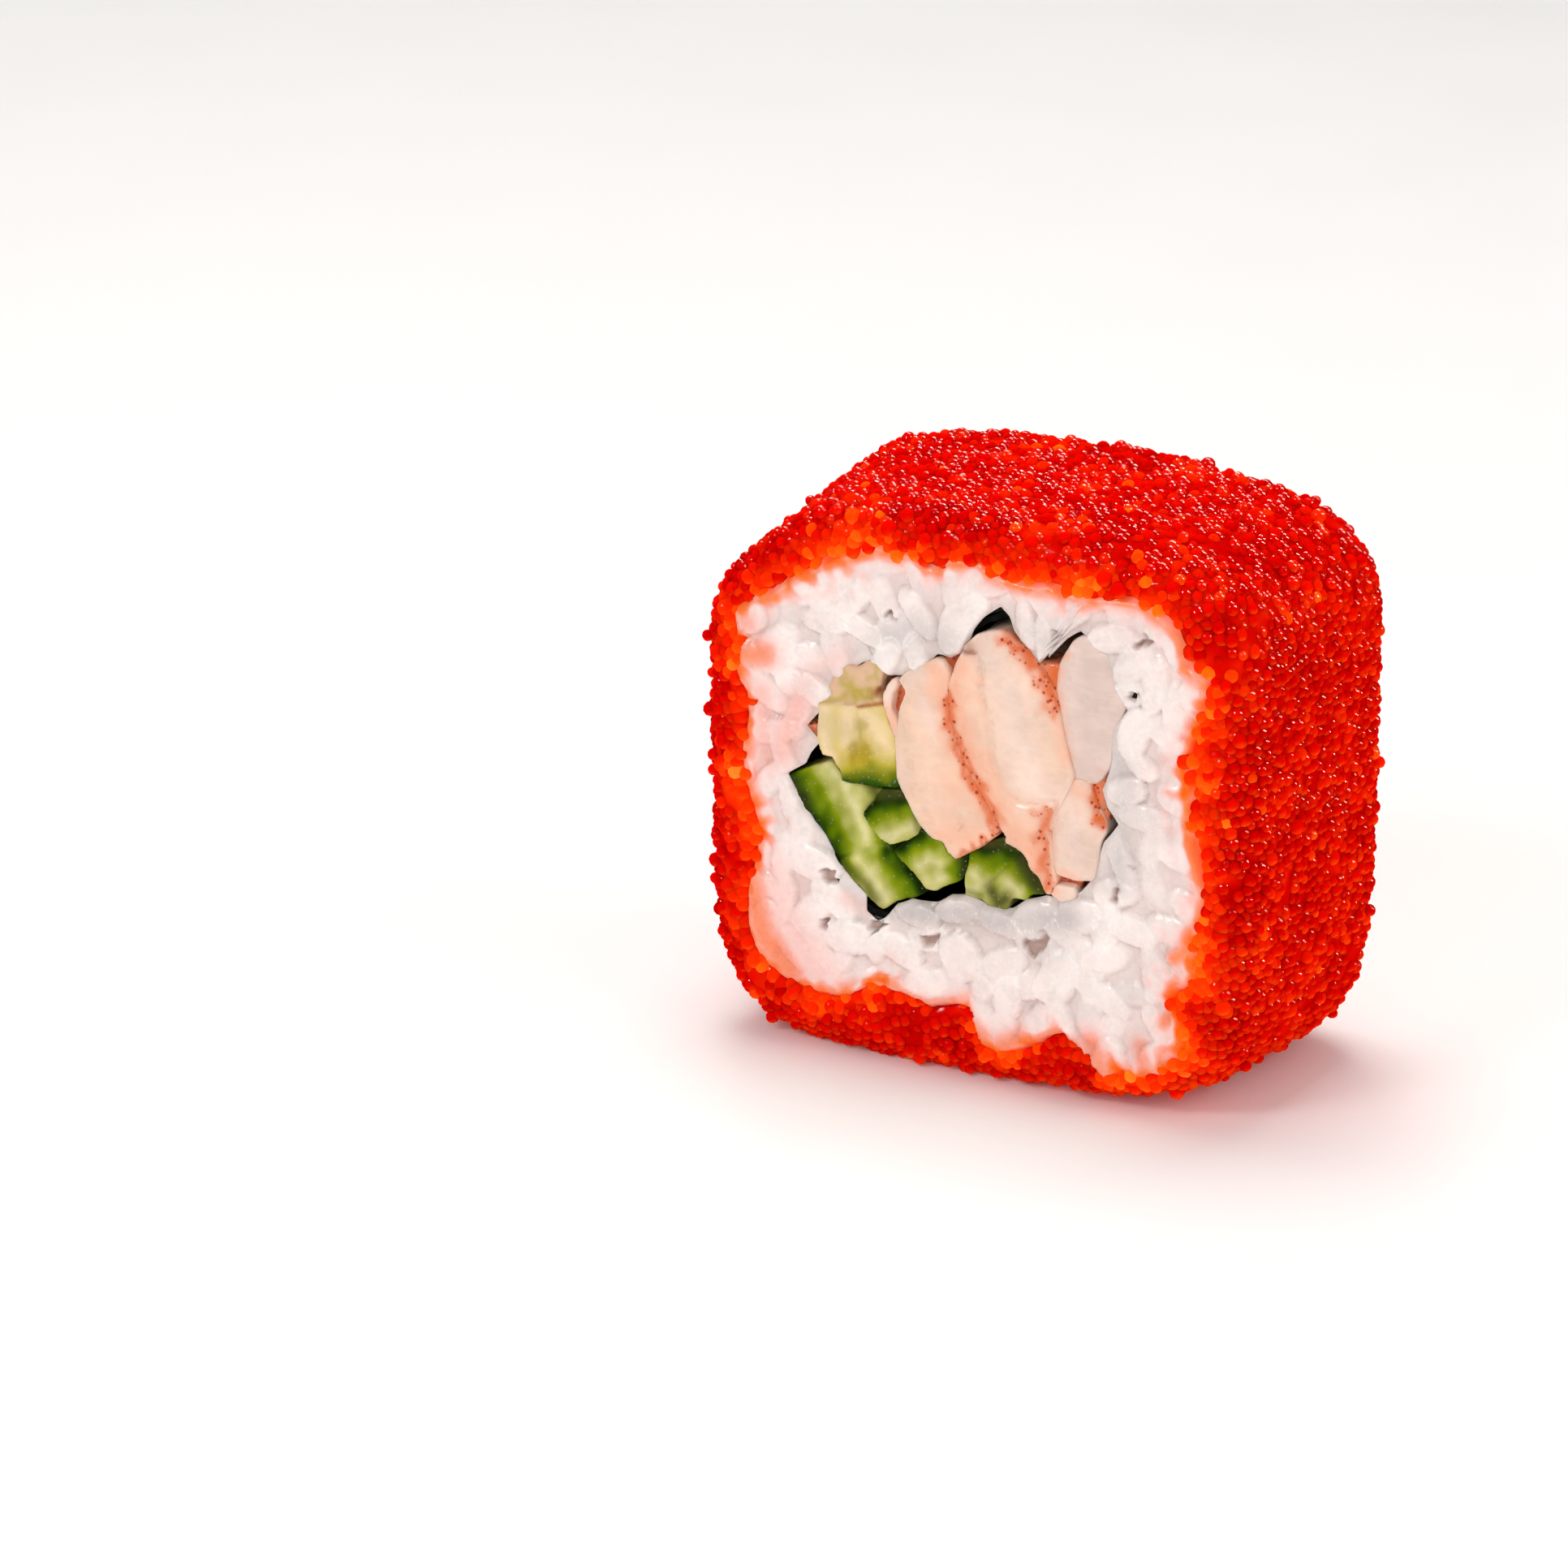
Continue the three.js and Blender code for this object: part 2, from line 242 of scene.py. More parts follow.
def ease(low, high, value):
    """0 below low, 1 above high, and a soft step between."""
    share = np.clip((value - low) / (high - low), 0, 1)
    return share * share * (3 - 2 * share)


def ring_faces(rows, columns):
    """Quads of a sheet whose rows close on themselves, and whose last row joins the first."""
    row, column = np.meshgrid(np.arange(rows), np.arange(columns), indexing="ij")
    here, following = row * columns, (row + 1) % rows * columns
    beside = (column + 1) % columns
    return np.stack((here + column, following + column, following + beside, here + beside), -1).reshape(-1, 4)


noise_sample = waves(np.linspace((0, 0, 0), (50, 50, 50), 500), 1.0, SEED)
print("noise goes from", round(noise_sample.min(), 1), "to", round(noise_sample.max(), 1))

# %% [markdown]
# ## The roll's section
# Rolled in a mat, the roll is neither round nor square: each corner is rounded by its own amount, and its
# weight has pressed the underside flat. One formula gives the outline at any inset, and the coat of eggs,
# the rice and the edges all follow it, so they fit the solids.

# %% The roll's section
WIDTH, LENGTH = 44.0, 22.6
SQUASH = 0.6
CORNER_POWERS = np.array((4.8, 3.5, 5.5, 4.4))
FRONT_EDGE, BACK_EDGE = 3.2, 3.8
COAT, COAT_RIM = 1.8, 0.4
SWELL = 0.12
INSET_RANGE, HALVINGS = (-3.0, 16.0), 30  # where an inset is sought, and in how many steps
GIRTH_STEPS, GIRTH_INSET = 2001, 1.0  # the way round the roll is measured a little under its surface
# Places where hands pressed the roll out of shape: degrees round the roll and millimetres along it, the reach
# in each direction, and the height
BULGES = (
    (157, -7.0, 15, 6.0, 1.0),
    (136, -7.0, 12, 6.0, -0.85),
    (133, 7.5, 9, 5.0, 0.5),
    (292, -9.5, 26, 3.0, -0.5),
    (304, -9.0, 12, 4.0, -0.4),
    (318, 4.0, 12, 6.0, 0.6),
    (36, 6.0, 10, 6.0, 0.5),
    (80, 8.0, 12, 6.0, 0.45),
)


def section(angle, inset):
    """Points on the section at some angles round the axis and insets from the outline."""
    power = CORNER_POWERS[np.floor(angle / (np.pi / 2)).astype(int) % 4]
    across, upward = np.cos(angle), np.sin(angle)
    half_width = WIDTH / 2 - inset
    half_height = HEIGHT / 2 + np.where(upward < 0, SQUASH, 0) - inset
    reach = (np.abs(across / half_width) ** power + np.abs(upward / half_height) ** power) ** (-1 / power)
    return across * reach, np.maximum(upward * reach, -HEIGHT / 2)


def inset_of(x, z):
    """How far inside the outline a point of the section lies, by halving."""
    angle = np.arctan2(z, x) % (2 * np.pi)
    low, high = (np.full(x.shape, inset) for inset in INSET_RANGE)
    for _ in range(HALVINGS):
        middle = (low + high) / 2
        edge_x, edge_z = section(angle, middle)
        outside = np.hypot(edge_x, edge_z) > np.hypot(x, z)
        low, high = np.where(outside, middle, low), np.where(outside, high, middle)
    return middle


def swell(angle, y):
    """The slow unevenness of the coat, zero or less."""
    return SWELL / 2 * (np.sin(3 * angle + 0.2 * y) + np.sin(5 * angle - 0.3 * y + 2) - 2)


def bulge(angle, y):
    """How far the pressed places raise or lower the coat."""
    total = np.zeros(angle.shape)
    for degrees, along, wide, long, height in BULGES:
        turned_by = (np.degrees(angle) - degrees + 180) % 360 - 180
        total += height * np.exp(-((turned_by / wide) ** 2) - ((y - along) / long) ** 2)
    return total


print("the section is", WIDTH, "by", HEIGHT, "mm")

# %% [markdown]
# The coat runs round the roll and over its rounded edges, so a place on it has an angle round the roll
# and a way along it, from the front face over the outside to the back face. That unrolls the coat into a
# flat sheet, on which eggs are easy to lay.

# %% The way over the coat
FRONT_ARC, BACK_ARC = FRONT_EDGE * math.pi / 2, BACK_EDGE * math.pi / 2
STRAIGHT = LENGTH - FRONT_EDGE - BACK_EDGE
COAT_SPAN = FRONT_ARC + STRAIGHT + BACK_ARC


def coat_point(angle, along, height):
    """A point over the coat: along is the way from the front face over the outside to the back face, and it
    goes on across the faces before 0 and after COAT_SPAN."""
    front = np.clip((FRONT_ARC - along) / FRONT_EDGE, 0, math.pi / 2)
    back = np.clip((along - FRONT_ARC - STRAIGHT) / BACK_EDGE, 0, math.pi / 2)
    over_front = np.maximum(-along, 0)
    over_back = np.maximum(along - COAT_SPAN, 0)
    inset = FRONT_EDGE * (1 - np.cos(front)) + BACK_EDGE * (1 - np.cos(back)) + over_front + over_back
    straight = np.clip(along - FRONT_ARC, 0, STRAIGHT)
    y = -LENGTH / 2 + FRONT_EDGE * (1 - np.sin(front)) + straight + BACK_EDGE * np.sin(back)
    inset = inset - height * np.cos(front) * np.cos(back) - bulge(angle, y) * ease(0, FRONT_ARC, along)
    y = y - height * np.sin(front) + height * np.sin(back)
    x, z = section(angle, inset)
    return np.stack((x, y, z), -1)


turn = np.linspace(0, 2 * np.pi, GIRTH_STEPS)
outline_x, outline_z = section(turn, np.full(turn.shape, GIRTH_INSET))
girth_at = np.concatenate(([0], np.cumsum(np.hypot(np.diff(outline_x), np.diff(outline_z)))))
GIRTH = girth_at[-1]
print("round the roll", round(GIRTH, 1), "mm, over the coat", round(COAT_SPAN, 1), "mm")

# %% [markdown]
# ## Helpers for materials
# A material is a tree of nodes, and making each node by hand takes many lines. So a short helper makes a
# node and fills its inputs, with a number, a colour or another node's output, and others make the kinds
# that come up often.

# %% Helpers for materials


def add_node(tree, kind, inputs=None, **settings):
    """A node with its settings and inputs filled."""
    node = tree.nodes.new(kind)
    for key, value in settings.items():
        setattr(node, key, value)
    for key, value in (inputs or {}).items():
        if isinstance(value, bpy.types.NodeSocket):
            tree.links.new(value, node.inputs[key])
        else:
            node.inputs[key].default_value = value
    return node


def ramp(tree, factor, *stops):
    """A colour that follows a value, through (place, colour) stops."""
    node = add_node(tree, "ShaderNodeValToRGB", {"Fac": factor})
    elements = node.color_ramp.elements
    while len(elements) < len(stops):
        elements.new(0.5)
    for element, (place, colour) in zip(elements, stops):
        element.position = place
        element.color = (*colour, 1)
    return node.outputs["Color"]


# the mixing node's sockets for colours, since it has others for numbers and vectors
MIX_FACTOR, MIX_FIRST, MIX_SECOND, MIX_RESULT = 0, 6, 7, 2


def blend_colour(tree, factor, first, second):
    """The first colour at factor 0 and the second at 1."""
    node = add_node(tree, "ShaderNodeMix", data_type="RGBA")
    for index, value in ((MIX_FACTOR, factor), (MIX_FIRST, first), (MIX_SECOND, second)):
        socket = node.inputs[index]
        if isinstance(value, bpy.types.NodeSocket):
            tree.links.new(value, socket)
        elif socket.type == "RGBA":
            socket.default_value = (*value, 1)
        else:
            socket.default_value = value
    return node.outputs[MIX_RESULT]


def calculate(tree, operation, *numbers, clamp=False):
    """A sum, product or the like of some values."""
    inputs = dict(enumerate(numbers))
    return add_node(tree, "ShaderNodeMath", inputs, operation=operation, use_clamp=clamp).outputs[0]


def noise(tree, place, scale, detail, **inputs):
    """Cloudy noise from about 0 to 1."""
    inputs = {"Vector": place, "Scale": scale, "Detail": detail, **inputs}
    return add_node(tree, "ShaderNodeTexNoise", inputs).outputs["Fac"]


def map_range(tree, value, low, high, to_low=0.0, to_high=1.0):
    """A value that goes from to_low to to_high while another goes from low to high, and stops there."""
    inputs = {"Value": value, "From Min": low, "From Max": high, "To Min": to_low, "To Max": to_high}
    return add_node(tree, "ShaderNodeMapRange", inputs).outputs["Result"]


def object_place(tree):
    """The place on the piece, in metres."""
    return add_node(tree, "ShaderNodeTexCoord").outputs["Object"]


def carried(tree, name):
    """A value that the mesh carries at its points."""
    return add_node(tree, "ShaderNodeAttribute", attribute_name=name).outputs["Fac"]


print("helpers for nodes are ready")

# %% [markdown]
# ## Effects that several foods share
# Three effects are shared by several foods, so each is a node group, built once. The first is the moist
# film on cut food: a fine unevenness that changes the gloss and the height. The second breaks up a colour
# with lighter and darker blotches, and keeps its hue. The third scatters tiny bright specks over cut, juicy
# food: painted sparkle of its wet surface, and partly pale flecks of the flesh. They could be copied into
# each material, but a group keeps each effect in one place.

# %% Effects that several foods share


def new_group(name, inputs, outputs):
    """A node group with its sockets, and the nodes for them inside."""
    group = bpy.data.node_groups.new(name, "ShaderNodeTree")
    for key, kind, default in inputs:
        socket = group.interface.new_socket(key, in_out="INPUT", socket_type=kind)
        socket.default_value = default
    for key, kind in outputs:
        group.interface.new_socket(key, in_out="OUTPUT", socket_type=kind)
    return group, group.nodes.new("NodeGroupInput"), group.nodes.new("NodeGroupOutput")


film, film_in, film_out = new_group(
    "moist_film",
    [("Scale", "NodeSocketFloat", 900.0), ("Dry", "NodeSocketFloat", 0.5), ("Wet", "NodeSocketFloat", 0.2)],
    [("Roughness", "NodeSocketFloat"), ("Height", "NodeSocketFloat")],
)
NOISE_LOW, NOISE_HIGH = 0.35, 0.65  # most of the noise lies between these
coarse = noise(film, object_place(film), film_in.outputs["Scale"], 4.0)
wetness = map_range(film, coarse, NOISE_LOW, NOISE_HIGH, film_in.outputs["Wet"], film_in.outputs["Dry"])
film.links.new(wetness, film_out.inputs["Roughness"])
film.links.new(coarse, film_out.inputs["Height"])

blotch, blotch_in, blotch_out = new_group(
    "blotches",
    [("Color", "NodeSocketColor", (1, 1, 1, 1)), ("Scale", "NodeSocketFloat", 300.0),
     ("Amount", "NodeSocketFloat", 0.2)],
    [("Color", "NodeSocketColor")],
)
cloud = noise(blotch, object_place(blotch), blotch_in.outputs["Scale"], 3.0)
darker = calculate(blotch, "SUBTRACT", 1.0, blotch_in.outputs["Amount"])
lighter = calculate(blotch, "ADD", 1.0, blotch_in.outputs["Amount"])
gain = map_range(blotch, cloud, NOISE_LOW, NOISE_HIGH, darker, lighter)
mixed = add_node(
    blotch, "ShaderNodeVectorMath", {0: blotch_in.outputs["Color"], "Scale": gain}, operation="SCALE"
)
blotch.links.new(mixed.outputs["Vector"], blotch_out.inputs["Color"])

speck, speck_in, speck_out = new_group(
    "specks",
    [("Color", "NodeSocketColor", (1, 1, 1, 1)), ("Scale", "NodeSocketFloat", 2500.0),
     ("Amount", "NodeSocketFloat", 0.5)],
    [("Color", "NodeSocketColor")],
)
SPECK_RIM, SPECK_CORE = 0.22, 0.05  # how far from its middle a speck begins and is brightest
# near white: a speck is painted sparkle, and partly a pale fleck of the flesh
SPECK_COLOUR = (1.0, 0.99, 0.94)
grit = add_node(
    speck, "ShaderNodeTexVoronoi", {"Vector": object_place(speck), "Scale": speck_in.outputs["Scale"]}
)
bright = map_range(speck, grit.outputs["Distance"], SPECK_RIM, SPECK_CORE)
bright = calculate(speck, "MULTIPLY", bright, speck_in.outputs["Amount"])
specked = blend_colour(speck, bright, speck_in.outputs["Color"], SPECK_COLOUR)
speck.links.new(specked, speck_out.inputs["Color"])
print("groups:", [g.name for g in bpy.data.node_groups])

# %% [markdown]
# ## Filling in a shader
# Each material has one shader, and what is the same all over a surface is set on its own sockets. The
# floor's paper is the first to be made this way: nearly white, matt, and a little uneven, as real paper
# is.

# %% Filling in a shader


def use_group(tree, group, **inputs):
    """The outputs of a node group with its inputs filled."""
    node = add_node(tree, "ShaderNodeGroup", node_tree=group)
    for key, value in inputs.items():
        if isinstance(value, bpy.types.NodeSocket):
            tree.links.new(value, node.inputs[key])
        else:
            node.inputs[key].default_value = value
    return node.outputs


def new_material(name):
    """A material with its node tree and its shader."""
    material = bpy.data.materials.new(name)
    material.use_nodes = True
    tree = material.node_tree
    return material, tree, tree.nodes["Principled BSDF"]


def set_shader(tree, shader, **inputs):
    """Fills the shader's sockets: underscores in a name stand for spaces."""
    for key, value in inputs.items():
        socket = shader.inputs[key.replace("_", " ")]
        if isinstance(value, bpy.types.NodeSocket):
            tree.links.new(value, socket)
        else:
            socket.default_value = value


def bump(tree, height, strength, distance):
    """Normals for a relief too fine for the mesh."""
    inputs = {"Height": height, "Strength": strength, "Distance": distance * MM}
    return add_node(tree, "ShaderNodeBump", inputs).outputs["Normal"]


paper, tree, shader = new_material("floor_paper")
film_outs = use_group(tree, film, Scale=60.0, Dry=0.75, Wet=0.65)
pale = use_group(tree, blotch, Color=(0.93, 0.93, 0.93, 1), Scale=4.0, Amount=0.01)
set_shader(tree, shader, Base_Color=pale["Color"], Roughness=film_outs["Roughness"])
floor.data.materials.append(paper)
print("the floor has", paper.name)

# %% [markdown]
# ## Where the eggs end
# At a cut face the coat of eggs ends in lobes and dips: here the knife dragged some eggs over the rice,
# there a tongue of rice pushed out. The edge is given as insets from the outline at angles round the
# roll, anticlockwise from the right. The back face isn't seen in the picture, so its edge is made of
# waves.

# %% Where the eggs end
ROE_EDGE = np.array([
    (0, 4.8), (13, 5.0), (20, 5.4), (25, 4.7), (29, 3.7), (34, 3.2), (38, 4.2), (43, 3.6), (54, 3.6),
    (64, 4.3), (70, 4.0), (76, 4.2), (83, 4.0), (90, 3.3), (97, 3.5), (100, 4.3), (104, 4.4), (107, 3.6),
    (115, 3.3), (122, 3.9), (133, 4.2), (142, 3.9), (147, 2.7), (151, 1.9), (157, 3.1), (162, 2.9),
    (165, 3.9), (172, 4.0), (180, 3.4), (186, 3.8), (193, 4.5), (199, 5.0), (205, 4.4), (212, 3.7),
    (219, 3.5), (227, 4.0), (236, 4.5), (240, 5.0), (242, 6.2), (252, 6.1), (259, 5.6), (266, 6.2),
    (270, 6.0), (273, 3.4), (277, 3.0), (283, 3.8), (290, 4.9), (296, 5.7), (298, 4.2), (300, 2.2),
    (304, 3.2), (307, 2.3), (313, 2.5), (318, 3.0), (321, 3.6), (323, 5.0), (326, 5.1), (331, 3.7),
    (336, 4.4), (348, 3.7), (354, 4.2),
])

# How orange the eggs are along that edge, from 0 to 1
ROE_ORANGE = np.array([
    (0, 0.45), (8, 0.6), (13, 1.0), (20, 0.9), (28, 0.6), (36, 0.35), (48, 0.15), (58, 0.3), (63, 0.7),
    (70, 0.3), (90, 0.35), (105, 0.3), (115, 0.4), (124, 0.65), (133, 0.6), (140, 0.4), (150, 0.6),
    (158, 0.7), (168, 0.4), (176, 0.45), (186, 0.5), (196, 0.7), (206, 0.5), (216, 0.4), (228, 0.4),
    (238, 0.6), (245, 1.0), (250, 0.1), (262, 0.0), (270, 0.4), (277, 0.7), (285, 0.6), (292, 0.05),
    (299, 0.4), (305, 0.8), (312, 0.6), (320, 0.9), (328, 0.6), (334, 0.95), (342, 0.5), (352, 0.3),
])
BACK_ORANGE = 0.45
BASE_TONE, TONE_DRIFT = 0.07, 0.08  # how orange the coat is by itself, and how far that drifts
# the top's share is painted light: the roe is warmer on top, where the lamps fall on it
PATCH_TONE, EDGE_TONE, TOP_LIGHT_TONE = 0.43, 0.12, 0.06  # what the patches, the edges and the top add


def rim_orange(angle):
    """How orange the front edge is at some angles."""
    return np.interp(np.degrees(angle), ROE_ORANGE[:, 0], ROE_ORANGE[:, 1], period=360)


def front_edge(angle):
    """How far in from the outline the eggs reach on the front face."""
    return np.interp(np.degrees(angle), ROE_EDGE[:, 0], ROE_EDGE[:, 1], period=360)


def back_edge(angle):
    """How far in the eggs reach on the back face."""
    lobes = 0.5 * np.sin(7 * angle + 1) + 0.4 * np.sin(13 * angle) + 0.35 * np.sin(23 * angle + 2)
    return BACK_EDGE + 0.5 + lobes


def along_front(inset):
    """The way along the coat at which its front edge has an inset."""
    on_arc = FRONT_ARC - FRONT_EDGE * np.arccos(np.clip(1 - inset / FRONT_EDGE, 0, 1))
    return np.where(inset < FRONT_EDGE, on_arc, FRONT_EDGE - inset)


def along_back(inset):
    """The way along the coat at which its back edge has an inset."""
    on_arc = COAT_SPAN - BACK_ARC + BACK_EDGE * np.arccos(np.clip(1 - inset / BACK_EDGE, 0, 1))
    return np.where(inset < BACK_EDGE, on_arc, COAT_SPAN + inset - BACK_EDGE)


def roe_tone(points, angle, from_front, from_back):
    """How orange the roe is: deep red outside, painted warmer on top where light falls, orange in patches at
    the edges.
    """
    rim = np.where(from_front < from_back, rim_orange(angle), BACK_ORANGE)
    from_edge = np.minimum(from_front, from_back)
    patch = PATCH_TONE * rim * np.exp(-((from_edge / (0.7 + 1.5 * rim)) ** 2))
    # painted light: warmer towards the top, where the light falls
    warm = EDGE_TONE * (1 - ease(0.5, 5.0, from_edge)) + TOP_LIGHT_TONE * np.clip(points[:, 2] / 20, 0, 1)
    return BASE_TONE + patch + warm + TONE_DRIFT * waves(points, 3.0, 11)


print("the eggs reach in", ROE_EDGE[:, 1].min(), "to", ROE_EDGE[:, 1].max(), "mm")

# %% [markdown]
# ## Laying the eggs
# The eggs lie side by side like shot in a tray: close, but in no pattern. Points are thrown at random on
# the unrolled coat and then push each other apart for a few rounds, which spaces them evenly. The table
# of cells lets each point look only at its neighbours.

# %% Laying the eggs
EGG_SPACING = 0.86
EGG_PACKING = 0.90  # each egg's share of the coat, in squares of the spacing
EGG_OVERHANG = 3.5  # how far the unrolled coat goes on across each cut face
RAGGED_EDGE = (-0.35, 0.2)  # how far single eggs stray over the edge or fall short of it
PUSH_ROUNDS, PUSH_SHARE = 8, 0.35
CELL_SLOTS = 4


def push_apart(points, size, spacing, rounds):
    """Spreads points evenly on a sheet that closes on itself in its first direction."""
    cells = np.floor(size / spacing).astype(int)
    cell_size = size / cells
    everyone = np.arange(len(points))
    for _ in range(rounds):
        at = np.minimum(np.floor(points / cell_size).astype(int), cells - 1)
        flat = at[:, 0] * cells[1] + at[:, 1]
        order = np.argsort(flat, kind="stable")
        rank = everyone - np.searchsorted(flat[order], flat[order])
        table = np.full((cells[0] * cells[1], CELL_SLOTS), -1)
        kept = rank < CELL_SLOTS
        table[flat[order][kept], rank[kept]] = order[kept]
        push = np.zeros_like(points)
        for step in [(a, b) for a in (-1, 0, 1) for b in (-1, 0, 1)]:
            near = at + step
            inside = (near[:, 1] >= 0) & (near[:, 1] < cells[1])
            near_flat = near[:, 0] % cells[0] * cells[1] + np.clip(near[:, 1], 0, cells[1] - 1)
            for slot in range(CELL_SLOTS):
                other = table[near_flat, slot]
                away = points - points[other]
                away[:, 0] -= size[0] * np.round(away[:, 0] / size[0])
                distance = np.maximum(np.hypot(away[:, 0], away[:, 1]), 1e-6)
                counts = inside & (other >= 0) & (other != everyone) & (distance < spacing)
                push += away * np.where(counts, (spacing - distance) / distance, 0)[:, None]
        points = points + PUSH_SHARE * push
        points[:, 0] %= size[0]
        points[:, 1] = np.clip(points[:, 1], 0, size[1] - 1e-6)
    return points


rng = np.random.default_rng(SEED)
sheet = np.array((GIRTH, COAT_SPAN + 2 * EGG_OVERHANG))
egg_count = int(sheet[0] * sheet[1] / (EGG_PACKING * EGG_SPACING**2))
laid = push_apart(rng.random((egg_count, 2)) * sheet, sheet, EGG_SPACING, PUSH_ROUNDS)
egg_angle = np.interp(laid[:, 0], girth_at, turn)
egg_along = laid[:, 1] - EGG_OVERHANG
from_front = egg_along - along_front(front_edge(egg_angle))
from_back = along_back(back_edge(egg_angle)) - egg_along
ragged = rng.uniform(*RAGGED_EDGE, egg_count)
kept = (from_front > ragged) & (from_back > ragged)
egg_angle, egg_along = egg_angle[kept], egg_along[kept]
from_front, from_back = from_front[kept], from_back[kept]
print(len(egg_angle), "eggs")

# %% [markdown]
# ## The eggs
# Each egg is a small ball of its own, a little out of round. Eggs near a cut edge sit loose and swollen
# and look orange, because light reaches them from the side. Those on the outside are pressed together,
# and red to deep red. Only some of them are wet enough to mirror a lamp. So there are four kinds, and one
# piece for each.

# %% Sizes and kinds of eggs
EGG_SIZE, EGG_SIZE_SPREAD = 0.96, 0.11
EDGE_EGG_SIZE = 1.22
EGG_STRETCH = 0.07  # how far out of round they are
SMALLEST_EGG, LARGEST_EGG = 0.70, 1.35
PROUD = (-0.14, 0.14)  # how far the eggs stand out of the coat
STRAY_SHARE, STRAY_PROUD = 0.05, (0.1, 0.45)  # some stand out further
EGG_SAG = 0.92  # eggs on the floor are pressed a little flat
ORANGE_SPREAD, ORANGE_SHARE, ORANGE_EXTRA = 0.10, 0.03, 0.3
ORANGE_KIND = 0.42  # eggs with more than this count as orange
DEEP_KIND = 0.12  # and those with less than this as deep red
WET_LOW, WET_SIDE, WET_TOP = 0.32, 0.08, 0.20  # the share of wet eggs, and what the sides and the top add
LIGHT_FROM = np.array((-0.45, 0.25, 0.86))
LIT_FROM, LIT_TO = 0.45, 0.98  # the far side of an egg, where light that went through it comes out

unit = bmesh.new()
bmesh.ops.create_icosphere(unit, subdivisions=2, radius=1)
ball = np.array([v.co for v in unit.verts])
ball_faces = np.array([[v.index for v in f.verts] for f in unit.faces])
unit.free()

count = len(egg_angle)
near_edge = 1 - ease(0.8, 5.0, np.minimum(from_front, from_back))
size = EGG_SIZE + EGG_SIZE_SPREAD * rng.normal(size=count)
size += (EDGE_EGG_SIZE - EGG_SIZE) * near_edge * rng.random(count)
size = np.clip(size, SMALLEST_EGG, LARGEST_EGG)
middle_y = coat_point(egg_angle, egg_along, np.zeros(count))[:, 1]
proud = rng.uniform(*PROUD, count)
proud += np.where(rng.random(count) < STRAY_SHARE, rng.uniform(*STRAY_PROUD, count), 0)
height = swell(egg_angle, middle_y) - size / 2 + proud
centres = coat_point(egg_angle, egg_along, height)
centres[:, 2] = np.maximum(centres[:, 2], -HEIGHT / 2 + size / 2 * EGG_SAG)

orange = roe_tone(centres, egg_angle, from_front, from_back) + ORANGE_SPREAD * rng.normal(size=count)
orange += np.where(rng.random(count) < ORANGE_SHARE, ORANGE_EXTRA, 0)
orange = np.clip(orange, 0, 1)
wet_share = WET_LOW + WET_SIDE * ease(-12, 8, centres[:, 2]) + WET_TOP * ease(8, 17, centres[:, 2])
wet_share *= ease(0.6, 3.5, from_front)
wet = rng.random(count) < wet_share
warm = ~wet & (orange > ORANGE_KIND)
deep = ~wet & (orange < DEEP_KIND)
# each kind's eggs, how rough they are where dry and wet, and how strongly they reflect
KINDS = {
    "roe_wet": (wet, 0.08, 0.04, 0.5),
    "roe_deep": (deep, 0.4, 0.3, 0.0),
    "roe_red": (~wet & ~warm & ~deep, 0.4, 0.3, 0.0),
    "roe_orange": (warm, 0.35, 0.2, 0.0),
}
print("kinds:", {name: int(kind[0].sum()) for name, kind in KINDS.items()})

# %% [markdown]
# A fish egg is a drop of clear, coloured oil and water in a thin skin. Clear glass would be slow to
# render and noisy in such numbers, so the light inside is made in three ways: some scattering below the
# surface, a brighter colour painted on the side away from the lamp, where light comes out again, and a
# faint painted glow.

# %% The roe's finish


def roe_material(name, dry, wet, specular):
    """Roe lets light through: a painted glow stands for what comes out, strongest where the roe is orange and
    loose.
    """
    material, tree, shader = new_material(name)
    tone = carried(tree, "orange")
    skin = ramp(
        tree, tone,
        (0.0, (0.50, 0.0004, 0.0004)), (0.2, (0.70, 0.002, 0.0005)), (0.45, (0.93, 0.024, 0.001)),
        (0.75, (0.98, 0.13, 0.003)), (1.0, (1.0, 0.28, 0.03)),
    )
    lit = ramp(
        tree, tone,
        (0.0, (0.86, 0.02, 0.002)), (0.45, (1.0, 0.08, 0.004)), (1.0, (1.0, 0.34, 0.05)),
    )
    # painted light: each egg's side away from the lamp is brighter, where light that went through it comes
    # out
    colour = blend_colour(tree, carried(tree, "lit_side"), skin, lit)
    # painted glow: an emission that stands in for the light passing through the roe
    glow = ramp(
        tree, tone,
        (0.0, (0.05, 0.0, 0.0)), (0.3, (0.10, 0.001, 0.0)), (0.5, (0.24, 0.012, 0.0)),
        (0.75, (0.34, 0.045, 0.002)), (1.0, (0.40, 0.10, 0.01)),
    )
    moist = use_group(tree, film, Scale=2500.0, Dry=dry, Wet=wet)
    set_shader(
        tree, shader, Base_Color=colour, Roughness=moist["Roughness"], IOR=1.36, Specular_IOR_Level=specular,
        Subsurface_Weight=1.0, Subsurface_Radius=(1.0, 0.2, 0.1), Subsurface_Scale=1.2 * MM,
        Emission_Color=glow, Emission_Strength=1.0, Coat_Weight=carried(tree, "film"), Coat_Roughness=0.12,
        Coat_IOR=1.36,
    )
    return material


print("roe reflects by kind:", {name: kind[3] for name, kind in KINDS.items()})

# %% [markdown]
# With thousands of eggs, each kind becomes one mesh. Copies of one ball would do, but real eggs press
# each other out of round, so each is stretched and turned by itself.

# %% The eggs' meshes


